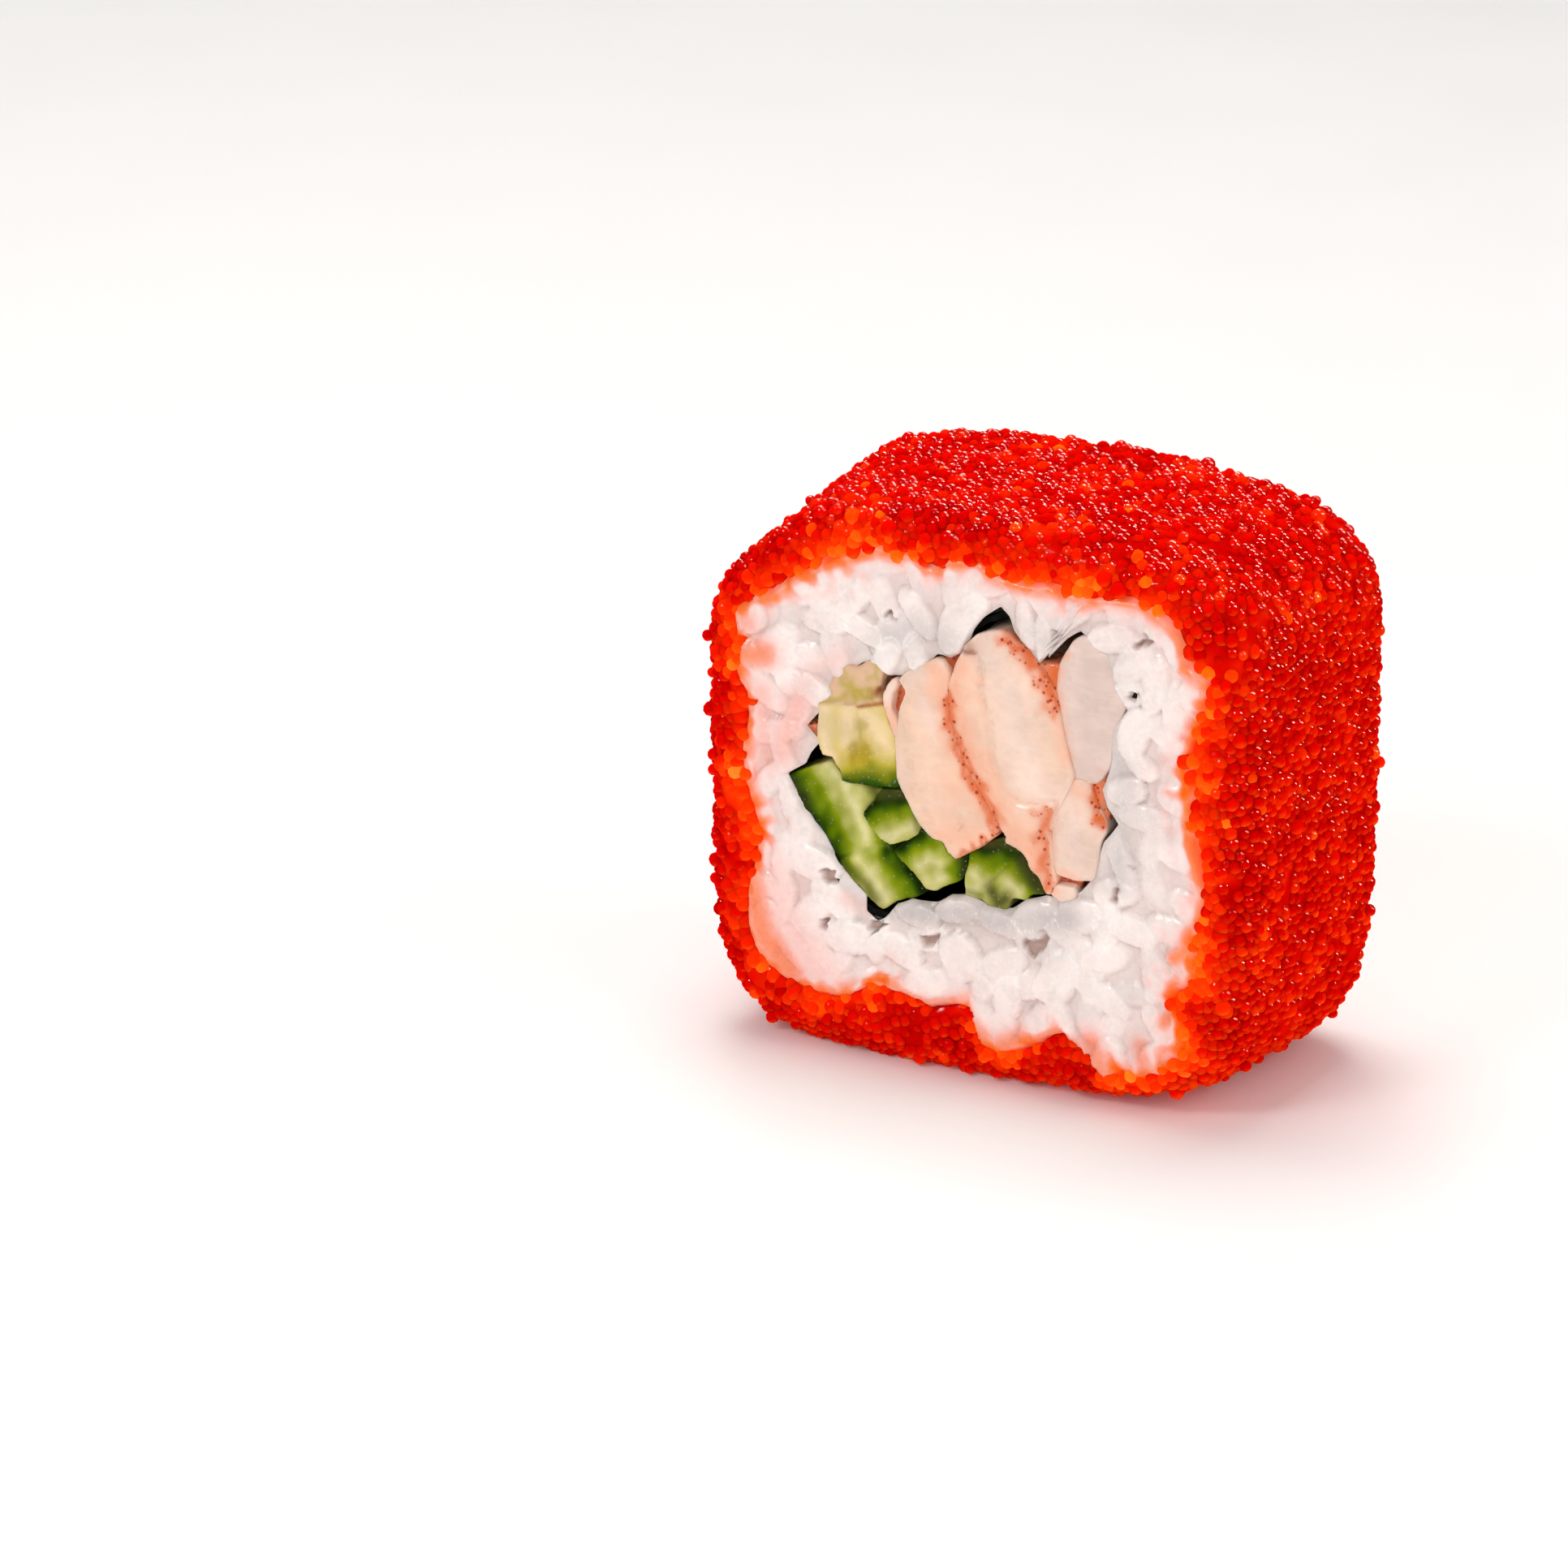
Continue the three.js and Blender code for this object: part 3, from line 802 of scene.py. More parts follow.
def egg_mesh(name, chosen):
    """The chosen eggs as one mesh, each stretched and turned at random."""
    rng_eggs = np.random.default_rng(SEED + len(name))
    number = int(chosen.sum())
    stretch = 1 + EGG_STRETCH * rng_eggs.normal(size=(number, 1, 3))
    turned = np.linalg.qr(rng_eggs.normal(size=(number, 3, 3)))[0]
    balls = np.einsum("nij,nvj->nvi", turned, ball[None] * stretch)
    points = centres[chosen][:, None] + balls * (size[chosen] / 2)[:, None, None]
    points[..., 2] = np.maximum(points[..., 2], -HEIGHT / 2)
    lit_side = ease(LIT_FROM, LIT_TO, -(balls @ LIGHT_FROM))
    faces = ball_faces[None] + (np.arange(number) * len(ball))[:, None, None]
    tones = np.repeat(orange[chosen], len(ball))
    values = {"orange": tones, "lit_side": lit_side.ravel(), "film": np.zeros(len(tones))}
    return mesh_from(name, points.reshape(-1, 3), faces.reshape(-1, 3), values)


for name, (chosen, *look_values) in KINDS.items():
    add_piece(name, egg_mesh(name, chosen), roe_material(name, *look_values))

# %% [markdown]
# ## The jelly between the eggs
# The eggs stick in a jelly of their own juice, which shows as deep red in the gaps. Near the cut faces
# the knife has mashed some eggs, so there it rises over others in places, wet and orange, and then it
# runs out over the rice. It is a closed ring that follows the coat, with a wavy front and back edge, and
# it stands for the coat's solid.

# %% The jelly between the eggs
JELLY_DEPTH, MASH_DEPTH = 0.32, 0.26  # below the tops of the eggs, on the outside and near the cut faces
JELLY_RELIEF, MASH_RELIEF = 0.05, 0.10  # its lumps, and how much higher they are near the cut faces
HEM_DEPTH, HEM_WIDTH = 0.6, 0.9  # it sinks along its edges
MASH_FILM = 0.5  # how wet it is near the cut faces
RING_TONE = 0.3  # how orange the unseen inside is
JELLY_OVER, JELLY_LIP = 0.1, 1.1  # how far it goes past the eggs, and how thick it is at the cut faces
JELLY_DRIFT = 0.12
JELLY_COLUMNS, JELLY_ROWS = 520, 84

angles = (np.arange(JELLY_COLUMNS) + 0.5) / JELLY_COLUMNS * 2 * np.pi
first = along_front(front_edge(angles) + JELLY_OVER)
last = along_back(back_edge(angles) + JELLY_OVER)
rows, tones, films = [], [], []
for share in np.linspace(1, 0, JELLY_ROWS):
    along = first + (last - first) * share
    flat = coat_point(angles, along, np.zeros(JELLY_COLUMNS))
    from_edge = np.minimum(along - first, last - along)
    mashed = 1 - ease(1.0, 3.5, from_edge)
    relief = (JELLY_RELIEF + MASH_RELIEF * mashed) * waves(flat, 0.8, 5)
    depth = JELLY_DEPTH + (MASH_DEPTH - JELLY_DEPTH) * mashed
    depth += HEM_DEPTH * (1 - ease(0.0, HEM_WIDTH, from_edge))
    rows.append(coat_point(angles, along, swell(angles, flat[:, 1]) - depth + relief))
    tones.append(roe_tone(rows[-1], angles, along - first, last - along))
    films.append(MASH_FILM * mashed)
INNER = [
    (-LENGTH / 2 + JELLY_LIP, FRONT_EDGE + COAT_RIM), (-LENGTH / 2 + FRONT_EDGE, COAT),
    (LENGTH / 2 - BACK_EDGE, COAT), (LENGTH / 2 - JELLY_LIP, BACK_EDGE + COAT_RIM),
]
for y, inset in INNER:
    x, z = section(angles, np.full(JELLY_COLUMNS, inset))
    rows.append(np.stack((x, np.full(JELLY_COLUMNS, y), z), -1))
    tones.append(np.full(JELLY_COLUMNS, RING_TONE))
    films.append(np.zeros(JELLY_COLUMNS))
points = np.concatenate(rows)
tone = np.concatenate(tones) + JELLY_DRIFT * waves(points, 1.1, 6)
jelly = mesh_from("roe_jelly", points, ring_faces(len(rows), JELLY_COLUMNS), {
    "orange": np.clip(tone, 0, 1), "lit_side": np.zeros(len(points)), "film": np.concatenate(films),
})
add_piece("roe_jelly", jelly, roe_material("roe_jelly", 0.6, 0.5, 0.0), ["roe_coat"])

# %% [markdown]
# ## The rice
# Sushi rice sticks together, but each grain keeps its shape, and the knife leaves a face of blunt,
# shining lumps. A pile of separate grains would be heavy and would show holes, so the face is one sheet:
# at each point it is as high as the highest grain there, with soft creases between. The sheet runs in
# rings from the opening at the fillings out under the eggs, and over both faces.

# %% The rice's opening
RICE_MIDDLE = np.array((-1.0, 2.0))
RICE_OPENING = np.array([
    (11.8, 0.5), (10.9, 1.6), (10.5, 2.8), (10.9, 3.9), (11.2, 5.2), (11.0, 6.6), (11.5, 8.0),
    (12.3, 9.0), (11.7, 9.9), (10.9, 11.0), (10.5, 12.3), (9.6, 13.4), (8.5, 14.2), (7.4, 13.4),
    (6.5, 12.5), (6.0, 11.5), (5.3, 11.2), (4.7, 11.9), (3.9, 12.6), (3.3, 13.3), (2.9, 14.3),
    (2.2, 14.9), (1.0, 14.0), (0.2, 13.0), (-0.3, 11.9), (-0.8, 11.0), (-1.7, 10.5), (-2.8, 10.6),
    (-3.5, 9.8), (-4.3, 9.0), (-5.6, 8.5), (-6.6, 8.3), (-7.4, 9.0), (-8.8, 8.9), (-10.1, 7.8),
    (-10.7, 6.5), (-11.7, 5.5), (-12.4, 4.4), (-13.3, 3.3), (-12.2, 2.3), (-13.0, 1.3), (-13.4, 0.4),
    (-14.7, -0.5), (-13.2, -2.9), (-11.7, -4.7), (-10.5, -6.5), (-9.6, -7.6), (-8.3, -8.6), (-8.3, -9.8),
    (-7.4, -10.4), (-6.7, -10.0), (-5.8, -8.8), (-4.6, -8.2), (-2.6, -8.1), (-1.4, -7.3), (0.0, -7.0),
    (1.6, -7.5), (3.5, -7.4), (4.6, -6.5), (6.2, -5.9), (8.0, -5.8), (9.0, -5.0), (9.8, -4.0),
    (10.2, -2.4), (10.7, -1.0),
])
# how far a point looks shifted for each millimetre that it lies behind the front face
SLIDE = np.array((towards_camera.x, towards_camera.z)) / -towards_camera.y
SEEN_DEPTH = 1.5
LIP_DEPTH = 0.6
NORI_WINDOW = 20  # the nori's two sides are told apart by the middle over so many points each way


def as_seen(points):
    """Where points near the front face appear in the picture, on the plane of that face."""
    depth = np.clip(points[:, 1] + LENGTH / 2, 0, SEEN_DEPTH)
    return points[:, [0, 2]] + depth[:, None] * SLIDE


def polar(points):
    """Angles and distances of section points from the middle of the rice, in order of angle."""
    away = points - RICE_MIDDLE
    angle = np.arctan2(away[:, 1], away[:, 0]) % (2 * np.pi)
    order = np.argsort(angle)
    return angle[order], np.hypot(away[:, 0], away[:, 1])[order]


def reach_at(angle, outline):
    """How far out an outline lies at some angles."""
    return np.interp(angle, outline[0], outline[1], period=2 * np.pi)


nori_points = points_of(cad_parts["nori"].data)
nori_angle, nori_reach = polar(nori_points[:, [0, 2]])
around = np.concatenate((nori_reach[-NORI_WINDOW:], nori_reach, nori_reach[:NORI_WINDOW]))
nori_middle = np.convolve(around, np.ones(2 * NORI_WINDOW + 1) / (2 * NORI_WINDOW + 1), "valid")
outer = nori_reach > nori_middle
nori_outside = (nori_angle[outer], nori_reach[outer])
nori_inside = (nori_angle[~outer], nori_reach[~outer])
front_opening = polar(RICE_OPENING - LIP_DEPTH * SLIDE)
print("nori up to", round(nori_outside[1].max(), 1), "mm from the middle")

# %% [markdown]
# The grains that the picture shows plainly are placed one by one: where they lie, how they are turned,
# and how long and wide they are. Random grains fill the rest, kept apart so that none hides another
# whole.

# %% The grains on a cut face
# x, z, turn in degrees, length, width, how far it stands out
GRAINS_SEEN = np.array([
    (-11.7, 11.2, 5, 4.2, 2.0, 0.15), (-6.3, 11.3, 40, 4.6, 3.0, -0.1), (-4.4, 13.0, -50, 4.4, 2.0, 0.1),
    (-1.7, 12.2, 80, 4.0, 2.4, 0.2), (4.0, 13.6, 100, 3.8, 1.6, 0.0), (5.5, 12.8, 95, 3.8, 1.5, 0.25),
    (7.4, 15.0, 40, 3.6, 2.0, 0.1), (12.5, 7.2, 70, 4.2, 2.4, 0.2), (11.9, 2.9, 20, 3.4, 2.2, 0.2),
    (13.0, 4.9, -30, 3.0, 1.8, 0.0), (-13.0, -6.9, -12, 5.2, 2.8, 0.1), (-11.0, -9.4, -35, 4.4, 2.2, 0.0),
    (-4.3, -9.2, -5, 3.9, 2.0, 0.15), (-1.0, -8.3, 8, 3.6, 2.1, 0.1), (2.2, -8.5, -10, 3.8, 2.0, 0.1),
    (5.0, -7.6, 25, 4.0, 2.2, 0.1), (8.6, -6.9, 15, 4.2, 2.6, 0.1), (-9.6, -12.0, 5, 4.6, 2.6, 0.25),
    (-5.6, -12.2, -20, 4.0, 2.2, 0.2), (-0.7, -11.7, -60, 3.7, 3.1, 0.35), (2.6, -11.6, 30, 4.0, 2.4, 0.2),
    (7.0, -11.8, 60, 4.6, 3.0, 0.25), (10.6, -9.6, 20, 4.4, 2.4, 0.1), (3.0, -14.0, 80, 3.8, 2.4, 0.2),
    (1.6, -16.8, 20, 4.4, 2.6, 0.3), (11.0, -17.4, 85, 4.0, 2.6, 0.35), (14.2, -16.9, 60, 3.8, 2.2, 0.3),
    (-16.6, -12.5, 70, 4.6, 2.6, 0.2), (-18.4, 10.2, 20, 4.0, 2.4, 0.25), (17.2, 11.4, 70, 3.6, 2.2, 0.25),
])
# Outlines of the shallow pockets between grains, where the rice is painted darker as shade
POCKETS = [
    [(-8.6, -10.5), (-7.6, -10.2), (-6.4, -10.6), (-7.2, -11.0), (-7.5, -11.6)],
    [(-5.0, -10.9), (-3.2, -10.5), (-2.4, -10.2), (-2.3, -11.1), (-3.7, -11.8), (-4.1, -11.0)],
    [(4.1, -9.4), (5.0, -9.3), (6.4, -8.5), (5.9, -10.0), (5.0, -10.9), (4.4, -10.6)],
    [(11.2, -4.4), (11.6, -3.8), (11.8, -5.3), (11.1, -5.4)],
    [(12.3, -2.2), (12.7, -2.4), (12.9, -2.9), (12.4, -2.7)],
    [(12.2, 13.6), (12.9, 14.3), (13.8, 14.5), (13.6, 13.6), (12.5, 13.2)],
    [(11.8, 10.2), (12.4, 10.4), (12.9, 10.0), (12.4, 9.4), (11.9, 9.6)],
    [(3.9, -14.8), (5.1, -14.5), (5.0, -15.0)],
    [(-7.3, 12.4), (-6.8, 12.9), (-5.9, 12.2), (-6.9, 12.0)],
    [(-12.3, -11.3), (-11.5, -10.8), (-11.2, -11.9), (-11.9, -11.6)],
    [(-12.3, -7.2), (-10.8, -7.0), (-10.7, -8.3), (-11.6, -8.4)],
]
POCKET_DEPTH = 0.6
# Where the eggs' juice has run into the rice: a line, how far it reaches and how strong it is
JUICE = [
    ([(-17.6, -9.5), (-16.5, -13.0), (-14.5, -15.5)], 1.9, 0.70),
    ([(-16.0, -8.5), (-15.0, -12.0), (-12.0, -15.0)], 2.8, 0.36),
    ([(-17.0, 5.0), (-16.6, 0.0)], 1.6, 0.42), ([(-14.0, 4.5), (-15.2, 1.0)], 2.0, 0.42),
    ([(-20.2, 9.4), (-18.6, 7.6), (-16.6, 8.0)], 1.5, 0.68), ([(-19.8, 11.0), (-18.0, 10.0)], 1.6, 0.50),
    ([(-13.6, 15.8), (-10.8, 16.6)], 0.9, 0.72), ([(-15.4, 13.2), (-14.0, 14.2)], 1.0, 0.55),
    ([(-9.0, 17.0), (-5.6, 17.0)], 0.7, 0.70), ([(1.6, 16.6), (5.0, 16.3), (9.0, 16.5)], 0.9, 0.60),
    ([(9.8, 16.8), (12.8, 16.4)], 1.1, 0.56), ([(18.6, 10.6), (17.6, 9.4)], 0.9, 0.72),
    ([(18.2, 7.4), (18.2, 4.8)], 1.1, 0.74), ([(18.5, 3.4), (18.2, 0.6)], 1.2, 0.55),
    ([(17.8, -1.0), (17.4, -4.0)], 0.9, 0.45), ([(17.4, -7.4), (16.2, -8.4)], 0.9, 0.74),
    ([(16.2, -12.0), (15.4, -13.4)], 0.8, 0.70), ([(16.6, -9.6), (16.0, -14.0)], 1.6, 0.38),
    ([(9.6, -16.2), (11.0, -18.4), (12.6, -18.0)], 1.5, 0.64), ([(13.4, -15.8), (14.2, -17.4)], 1.1, 0.60),
    ([(0.4, -17.0), (2.0, -18.2), (4.2, -17.0)], 1.4, 0.68), ([(-8.2, -16.4), (-7.4, -18.4)], 0.7, 0.86),
    ([(-11.4, -16.2), (-9.0, -16.6)], 0.6, 0.70), ([(-10.5, 8.6), (-13.5, 6.6)], 1.4, 0.28),
    ([(-10.0, -9.2), (-8.5, -9.6)], 0.8, 0.32),
]
# Where the rice is greyish and lets light through
GREY = [
    ([(-5.0, -9.2), (-1.0, -8.3), (2.2, -8.5), (5.0, -7.8), (8.0, -7.0)], 1.3, 0.85),
    ([(11.6, -4.0), (11.8, 1.0), (12.0, 4.0)], 1.2, 0.5),
    ([(-6.4, 11.0), (-4.4, 12.0), (-2.6, 11.4)], 1.4, 0.7),
    ([(3.8, 13.8), (5.6, 12.8), (8.0, 15.0)], 1.0, 0.45), ([(5.4, -10.2), (7.0, -9.2)], 1.2, 0.4),
]
GRAIN_SPACING = 1.95
GRAIN_TRIES = 5000
GRAIN_LONG, GRAIN_WIDE, GRAIN_OUT = (3.6, 4.8), (1.9, 2.5), (-0.2, 0.12)
GRAIN_FROM_OPENING, GRAIN_FROM_OUTLINE = 0.7, 1.6
GRAIN_ACROSS, GRAIN_UPWARD = (-20, 20), (-19.5, 19)  # where random grains are tried
TILT_LONG, TILT_WIDE, GRAIN_BEND = 0.05, 0.08, 0.03  # how unevenly grains lie, and how bent they are
LONG_POWER, WIDE_POWER = 2.4, 2.2  # larger is blunter
GRAIN_THICK = 0.52
GRAIN_FLAT = 1.8  # larger leaves a flatter top and a steeper edge
GRAIN_FLOOR = 0.5  # how deep the creases go at most
CREASE = 18.0  # larger is sharper
# The painted highlight: a bright line where a grain's edge stands just above its neighbour.
EDGE_HIGHLIGHT_STEP = 0.07  # how far a grain's bright edge lies above its neighbour
DEEPEST = 0.8  # how deep grains and lumps may go where no eggs cover them
KNIFE = 0.12  # the height at which the knife has cut the grains flat
print(len(GRAINS_SEEN), "grains placed by hand,", len(POCKETS), "pockets and", len(JUICE), "runs of juice")

# %% [markdown]
# Stains, pockets and shadows are drawn in the section, as a painter would: a stroke is a line with a
# reach and a strength, and a pocket is a closed outline. An image could hold them too, but strokes stay
# sharp at any size.

# %% Strokes and outlines


def line_distance(flat, line):
    """The distance of section points from a line through some points."""
    nearest = np.full(len(flat), np.inf)
    for (ax, az), (bx, bz) in zip(line[:-1], line[1:]):
        step = np.array((bx - ax, bz - az))
        share = np.clip(((flat - (ax, az)) @ step) / (step @ step), 0, 1)
        gap = flat - (np.array((ax, az)) + share[:, None] * step)
        nearest = np.minimum(nearest, np.hypot(gap[:, 0], gap[:, 1]))
    return nearest


def painted(flat, strokes):
    """The strongest of some strokes at section points: each is a line, its reach and its strength."""
    total = np.zeros(len(flat))
    for line, reach, strength in strokes:
        total = np.maximum(total, strength * np.exp(-((line_distance(flat, line) / reach) ** 2)))
    return total


def shaken_by(flat, amount, size, seed):
    """Section points moved about a little, so that what is drawn there gets ragged edges."""
    return flat + amount * np.stack((waves(flat, size, seed), waves(flat, size, seed + 1)), -1)


def depth_inside(flat, outline):
    """How far inside a closed outline section points lie, and zero outside it."""
    inside = np.zeros(len(flat), bool)
    ring = [*outline, outline[0]]
    for (ax, az), (bx, bz) in zip(ring[:-1], ring[1:]):
        crosses = (az > flat[:, 1]) != (bz > flat[:, 1])
        inside ^= crosses & (flat[:, 0] < ax + (flat[:, 1] - az) * (bx - ax) / (bz - az if bz != az else 1))
    return np.where(inside, line_distance(flat, ring), 0)


print("the widest run of juice reaches", max(reach for _, reach, _ in JUICE), "mm")

# %% [markdown]
# A grain is an oval dome with a blunt top, tilted and bent a little. Where domes overlap the higher one
# shows, and a soft maximum rounds the creases between them. Last, the knife takes off what stands out too
# far.

# %% Grains as heights


def scatter_grains(opening, seen, rng):
    """Adds random grains between the opening and the outline, none too near another."""
    grains = [tuple(g) for g in seen]
    for _ in range(GRAIN_TRIES):
        x, z = rng.uniform(*GRAIN_ACROSS), rng.uniform(*GRAIN_UPWARD)
        away = np.array((x, z)) - RICE_MIDDLE
        angle = math.atan2(away[1], away[0]) % (2 * math.pi)
        turn_degrees = rng.uniform(0, 180)
        long, wide, out = rng.uniform(*GRAIN_LONG), rng.uniform(*GRAIN_WIDE), rng.uniform(*GRAIN_OUT)
        if math.hypot(*away) < reach_at(angle, opening) + GRAIN_FROM_OPENING:
            continue
        if inset_of(np.array((x,)), np.array((z,)))[0] < GRAIN_FROM_OUTLINE:
            continue
        if all(math.hypot(x - g[0], z - g[1]) > GRAIN_SPACING for g in grains):
            grains.append((x, z, turn_degrees, long, wide, out))
    return np.array(grains)


def grain_heights(x, z, grains, rng):
    """The height of the highest grain at each point, with soft creases, a shade for each grain, and a painted
    highlight where a grain's edge lies just above its neighbour."""
    total = np.full(x.shape, math.exp(-GRAIN_FLOOR * CREASE))
    shade = np.zeros(x.shape)
    best, second = np.full(x.shape, -GRAIN_FLOOR), np.full(x.shape, -2 * GRAIN_FLOOR)
    for gx, gz, turn_degrees, long, wide, out in grains:
        tilt_long, tilt_wide = rng.normal(0, TILT_LONG), rng.normal(0, TILT_WIDE)
        bend, tone = rng.normal(0, GRAIN_BEND), rng.normal()
        close = np.flatnonzero(np.hypot(x - gx, z - gz) < long / 2 + 0.4)
        c, s = math.cos(math.radians(turn_degrees)), math.sin(math.radians(turn_degrees))
        u = (x[close] - gx) * c + (z[close] - gz) * s
        v = (z[close] - gz) * c - (x[close] - gx) * s + bend * u**2
        oval = np.abs(2 * u / long) ** LONG_POWER + np.abs(2 * v / wide) ** WIDE_POWER
        over = oval < 1
        close, u, v, oval = close[over], u[over], v[over], oval[over]
        dome = out + tilt_long * u + tilt_wide * v - GRAIN_THICK * (1 - np.sqrt(1 - oval**GRAIN_FLAT))
        weight = np.exp(CREASE * np.maximum(dome, -GRAIN_FLOOR))
        total[close] += weight
        shade[close] += weight * tone
        second[close] = np.maximum(second[close], np.minimum(best[close], dome))
        best[close] = np.maximum(best[close], dome)
    height = np.log(total) / CREASE
    height = -np.log(np.exp(-CREASE * height) + math.exp(-CREASE * KNIFE)) / CREASE
    return height, shade / total, np.clip(1 - np.abs(best - second - EDGE_HIGHLIGHT_STEP) / EDGE_HIGHLIGHT_STEP, 0, 1)


print("a grain is", GRAIN_LONG, "by", GRAIN_WIDE, "mm")

# %% [markdown]
# Each face is a fan of rings from the opening to the outline. Towards the outside it bends back with the
# rounded cut edge, and under the eggs it sinks, so that the eggs lie in it. Each point also carries how
# far the eggs' juice has stained it, how deep it lies in a pocket or a crease, which sets its painted
# shade, and which grain it belongs to.

# %% A face of rice
RICE_COLUMNS = 640
FRONT_RINGS, BACK_RINGS = 68, 40
RICE_HEM = 1.9  # the inset at which the sheet ends, under the eggs
NORI_RECESS, NORI_GAP = 1.0, 0.12  # how far back the nori ends, and the room left round it
NORI_END_GAP = 0.08  # the room left past its ends
LIP_IN = 0.2  # how far the rice leans over the opening, to touch the fillings
LIP_THICK = 0.14
EGGS_COVER = 0.4  # how far the eggs hang over the edge of their coat
RIM_BLUR = 81  # over how many columns the fan is evened out, so that its ribs never cross
FACE_SINK, EGGS_SINK = 0.25, 0.85  # how deep the face lies, and how much deeper under the eggs
LIP_SINK, LIP_WIDTH = 0.3, 0.5  # it rounds off at the opening
SLOW_LUMPS, FINE_LUMPS = 0.15, 0.04
PRESSED, PRESSED_REACH = 0.5, (0.2, 2.6)  # how much lower the grains are next to the eggs, and how far in
# how ragged the pockets' edges are, and how much painted shade the low creases between grains get
POCKET_RAGGED, CREASE_SHADE = 0.14, 0.28
FAINT_STAIN, FAINT_REACH = 0.20, 2.6  # the pink that reaches far into the rice


def rice_face(opening, edge_of, edge_round, orange_of, seen, pockets, juice, grey, rings, seed):
    """One face of the rice: its lip at the opening, its points, their heights and the values they carry."""
    rng = np.random.default_rng(seed)
    grains = scatter_grains(opening, seen, rng)
    angle = np.arange(RICE_COLUMNS) / RICE_COLUMNS * 2 * np.pi
    reach = reach_at(angle, opening) - LIP_IN
    lip = RICE_MIDDLE + np.stack((np.cos(angle), np.sin(angle)), -1) * reach[:, None]
    lean = (np.arctan2(lip[:, 1], lip[:, 0]) - angle + np.pi) % (2 * np.pi) - np.pi
    side = RIM_BLUR // 2
    lean = np.concatenate((lean[-side:], lean, lean[:side]))
    lean = np.convolve(lean, np.ones(RIM_BLUR) / RIM_BLUR, "valid")
    rim = np.stack(section((angle + lean) % (2 * np.pi), np.full(RICE_COLUMNS, RICE_HEM)), -1)
    share = np.linspace(0, 1, rings)[:, None, None]
    flat = (lip[None] * (1 - share) + rim[None] * share).reshape(-1, 2)
    x, z = flat[:, 0], flat[:, 1]
    inset = inset_of(x, z)
    round_roll = np.arctan2(z, x) % (2 * np.pi)
    to_eggs = inset - edge_of(round_roll)
    from_lip = np.hypot(*(flat - np.tile(lip, (rings, 1))).T)
    height, shade, edge_highlight = grain_heights(x, z, grains, rng)
    low = ease(0.12, 0.45, -height)
    pressed = 1 - ease(*PRESSED_REACH, to_eggs)
    height *= 1 - PRESSED * pressed
    height += SLOW_LUMPS * waves(flat, 4.0, seed + 1) + FINE_LUMPS * waves(flat, 0.5, seed + 2)
    under_eggs = 1 - ease(-0.5, 0.3, to_eggs)
    height = height * (1 - 0.6 * under_eggs) - FACE_SINK - EGGS_SINK * under_eggs
    height -= LIP_SINK * np.clip(1 - from_lip / LIP_WIDTH, 0, 1) ** 2
    height = np.maximum(height, -DEEPEST - under_eggs)
    short = np.clip(edge_round - inset, 0, edge_round)
    height -= edge_round - np.sqrt(edge_round**2 - short**2)
    deep = np.zeros(x.shape)
    shaken = shaken_by(flat, POCKET_RAGGED, 0.5, seed + 5)
    for pocket in pockets:
        deep = np.maximum(deep, ease(0.02, 0.22, depth_inside(shaken, pocket)))
    height -= POCKET_DEPTH * deep
    orange = orange_of(round_roll)
    wedge = np.clip(0.5 + 0.8 * waves(flat, 0.9, seed + 3), 0, 1)
    soak = (0.25 + 0.55 * orange) * (0.4 + 1.2 * wedge)
    to_eggs = np.maximum(to_eggs - EGGS_COVER, 0)
    stain = (0.4 + 0.55 * orange * wedge) * np.exp(-to_eggs / soak)
    stain += FAINT_STAIN * np.exp(-to_eggs / FAINT_REACH)
    values = {
        "stain": np.clip(np.maximum(stain, painted(flat, juice)), 0, 1),
        # painted shade: darker in the pockets and in the low creases between grains
        "pocket": np.maximum(deep, CREASE_SHADE * low * (1 - pressed)),
        "shade": shade * (1 - 0.6 * pressed),
        "grey": painted(flat, grey),
        "edge_highlight": edge_highlight * (1 - 0.7 * pressed),
    }
    return lip, x, z, height, values


print("a face has", RICE_COLUMNS, "columns and", FRONT_RINGS, "or", BACK_RINGS, "rings")

# %% [markdown]
# The front face has the grains of the picture. The back face isn't seen there, so all of its grains are
# random and its opening is a wavy line inside the nori. A wall along the nori joins the two faces into
# one closed sheet.

# %% The rice's mesh
BACK_POINTS, BACK_RADIUS = 180, 10
BACK_GAP, BACK_WAVES = 0.1, 0.45  # how far the back opening lies inside the nori, and how uneven it is
back_angle = np.linspace(0, 2 * np.pi, BACK_POINTS, endpoint=False)
back_round = np.stack((np.cos(back_angle), np.sin(back_angle)), -1) * BACK_RADIUS
back_reach = reach_at(back_angle, nori_inside) - BACK_GAP + BACK_WAVES * waves(back_round, 2.0, 31)
back_opening = (back_angle, back_reach)


def back_orange(angle):
    """The back edge is equally orange all round."""
    return np.full(angle.shape, BACK_ORANGE)


front = rice_face(
    front_opening, front_edge, FRONT_EDGE, rim_orange, GRAINS_SEEN, POCKETS, JUICE, GREY, FRONT_RINGS,
    SEED + 20,
)
back = rice_face(
    back_opening, back_edge, BACK_EDGE, back_orange, np.empty((0, 6)), [], [], [], BACK_RINGS, SEED + 40
)

angle = np.arange(RICE_COLUMNS) / RICE_COLUMNS * 2 * np.pi
outward = np.stack((np.cos(angle), np.sin(angle)), -1)
nori_wall = RICE_MIDDLE + outward * (reach_at(angle, nori_outside) + NORI_GAP)[:, None]


def ring_row(flat, y):
    """Section points as points of the roll at one place along it."""
    return np.stack((flat[:, 0], np.full(len(flat), y), flat[:, 1]), -1)


def from_rim(numbers):
    """The back sheet's points, from its rim inwards."""
    return numbers.reshape(BACK_RINGS, RICE_COLUMNS, -1)[::-1].reshape(len(numbers), -1)


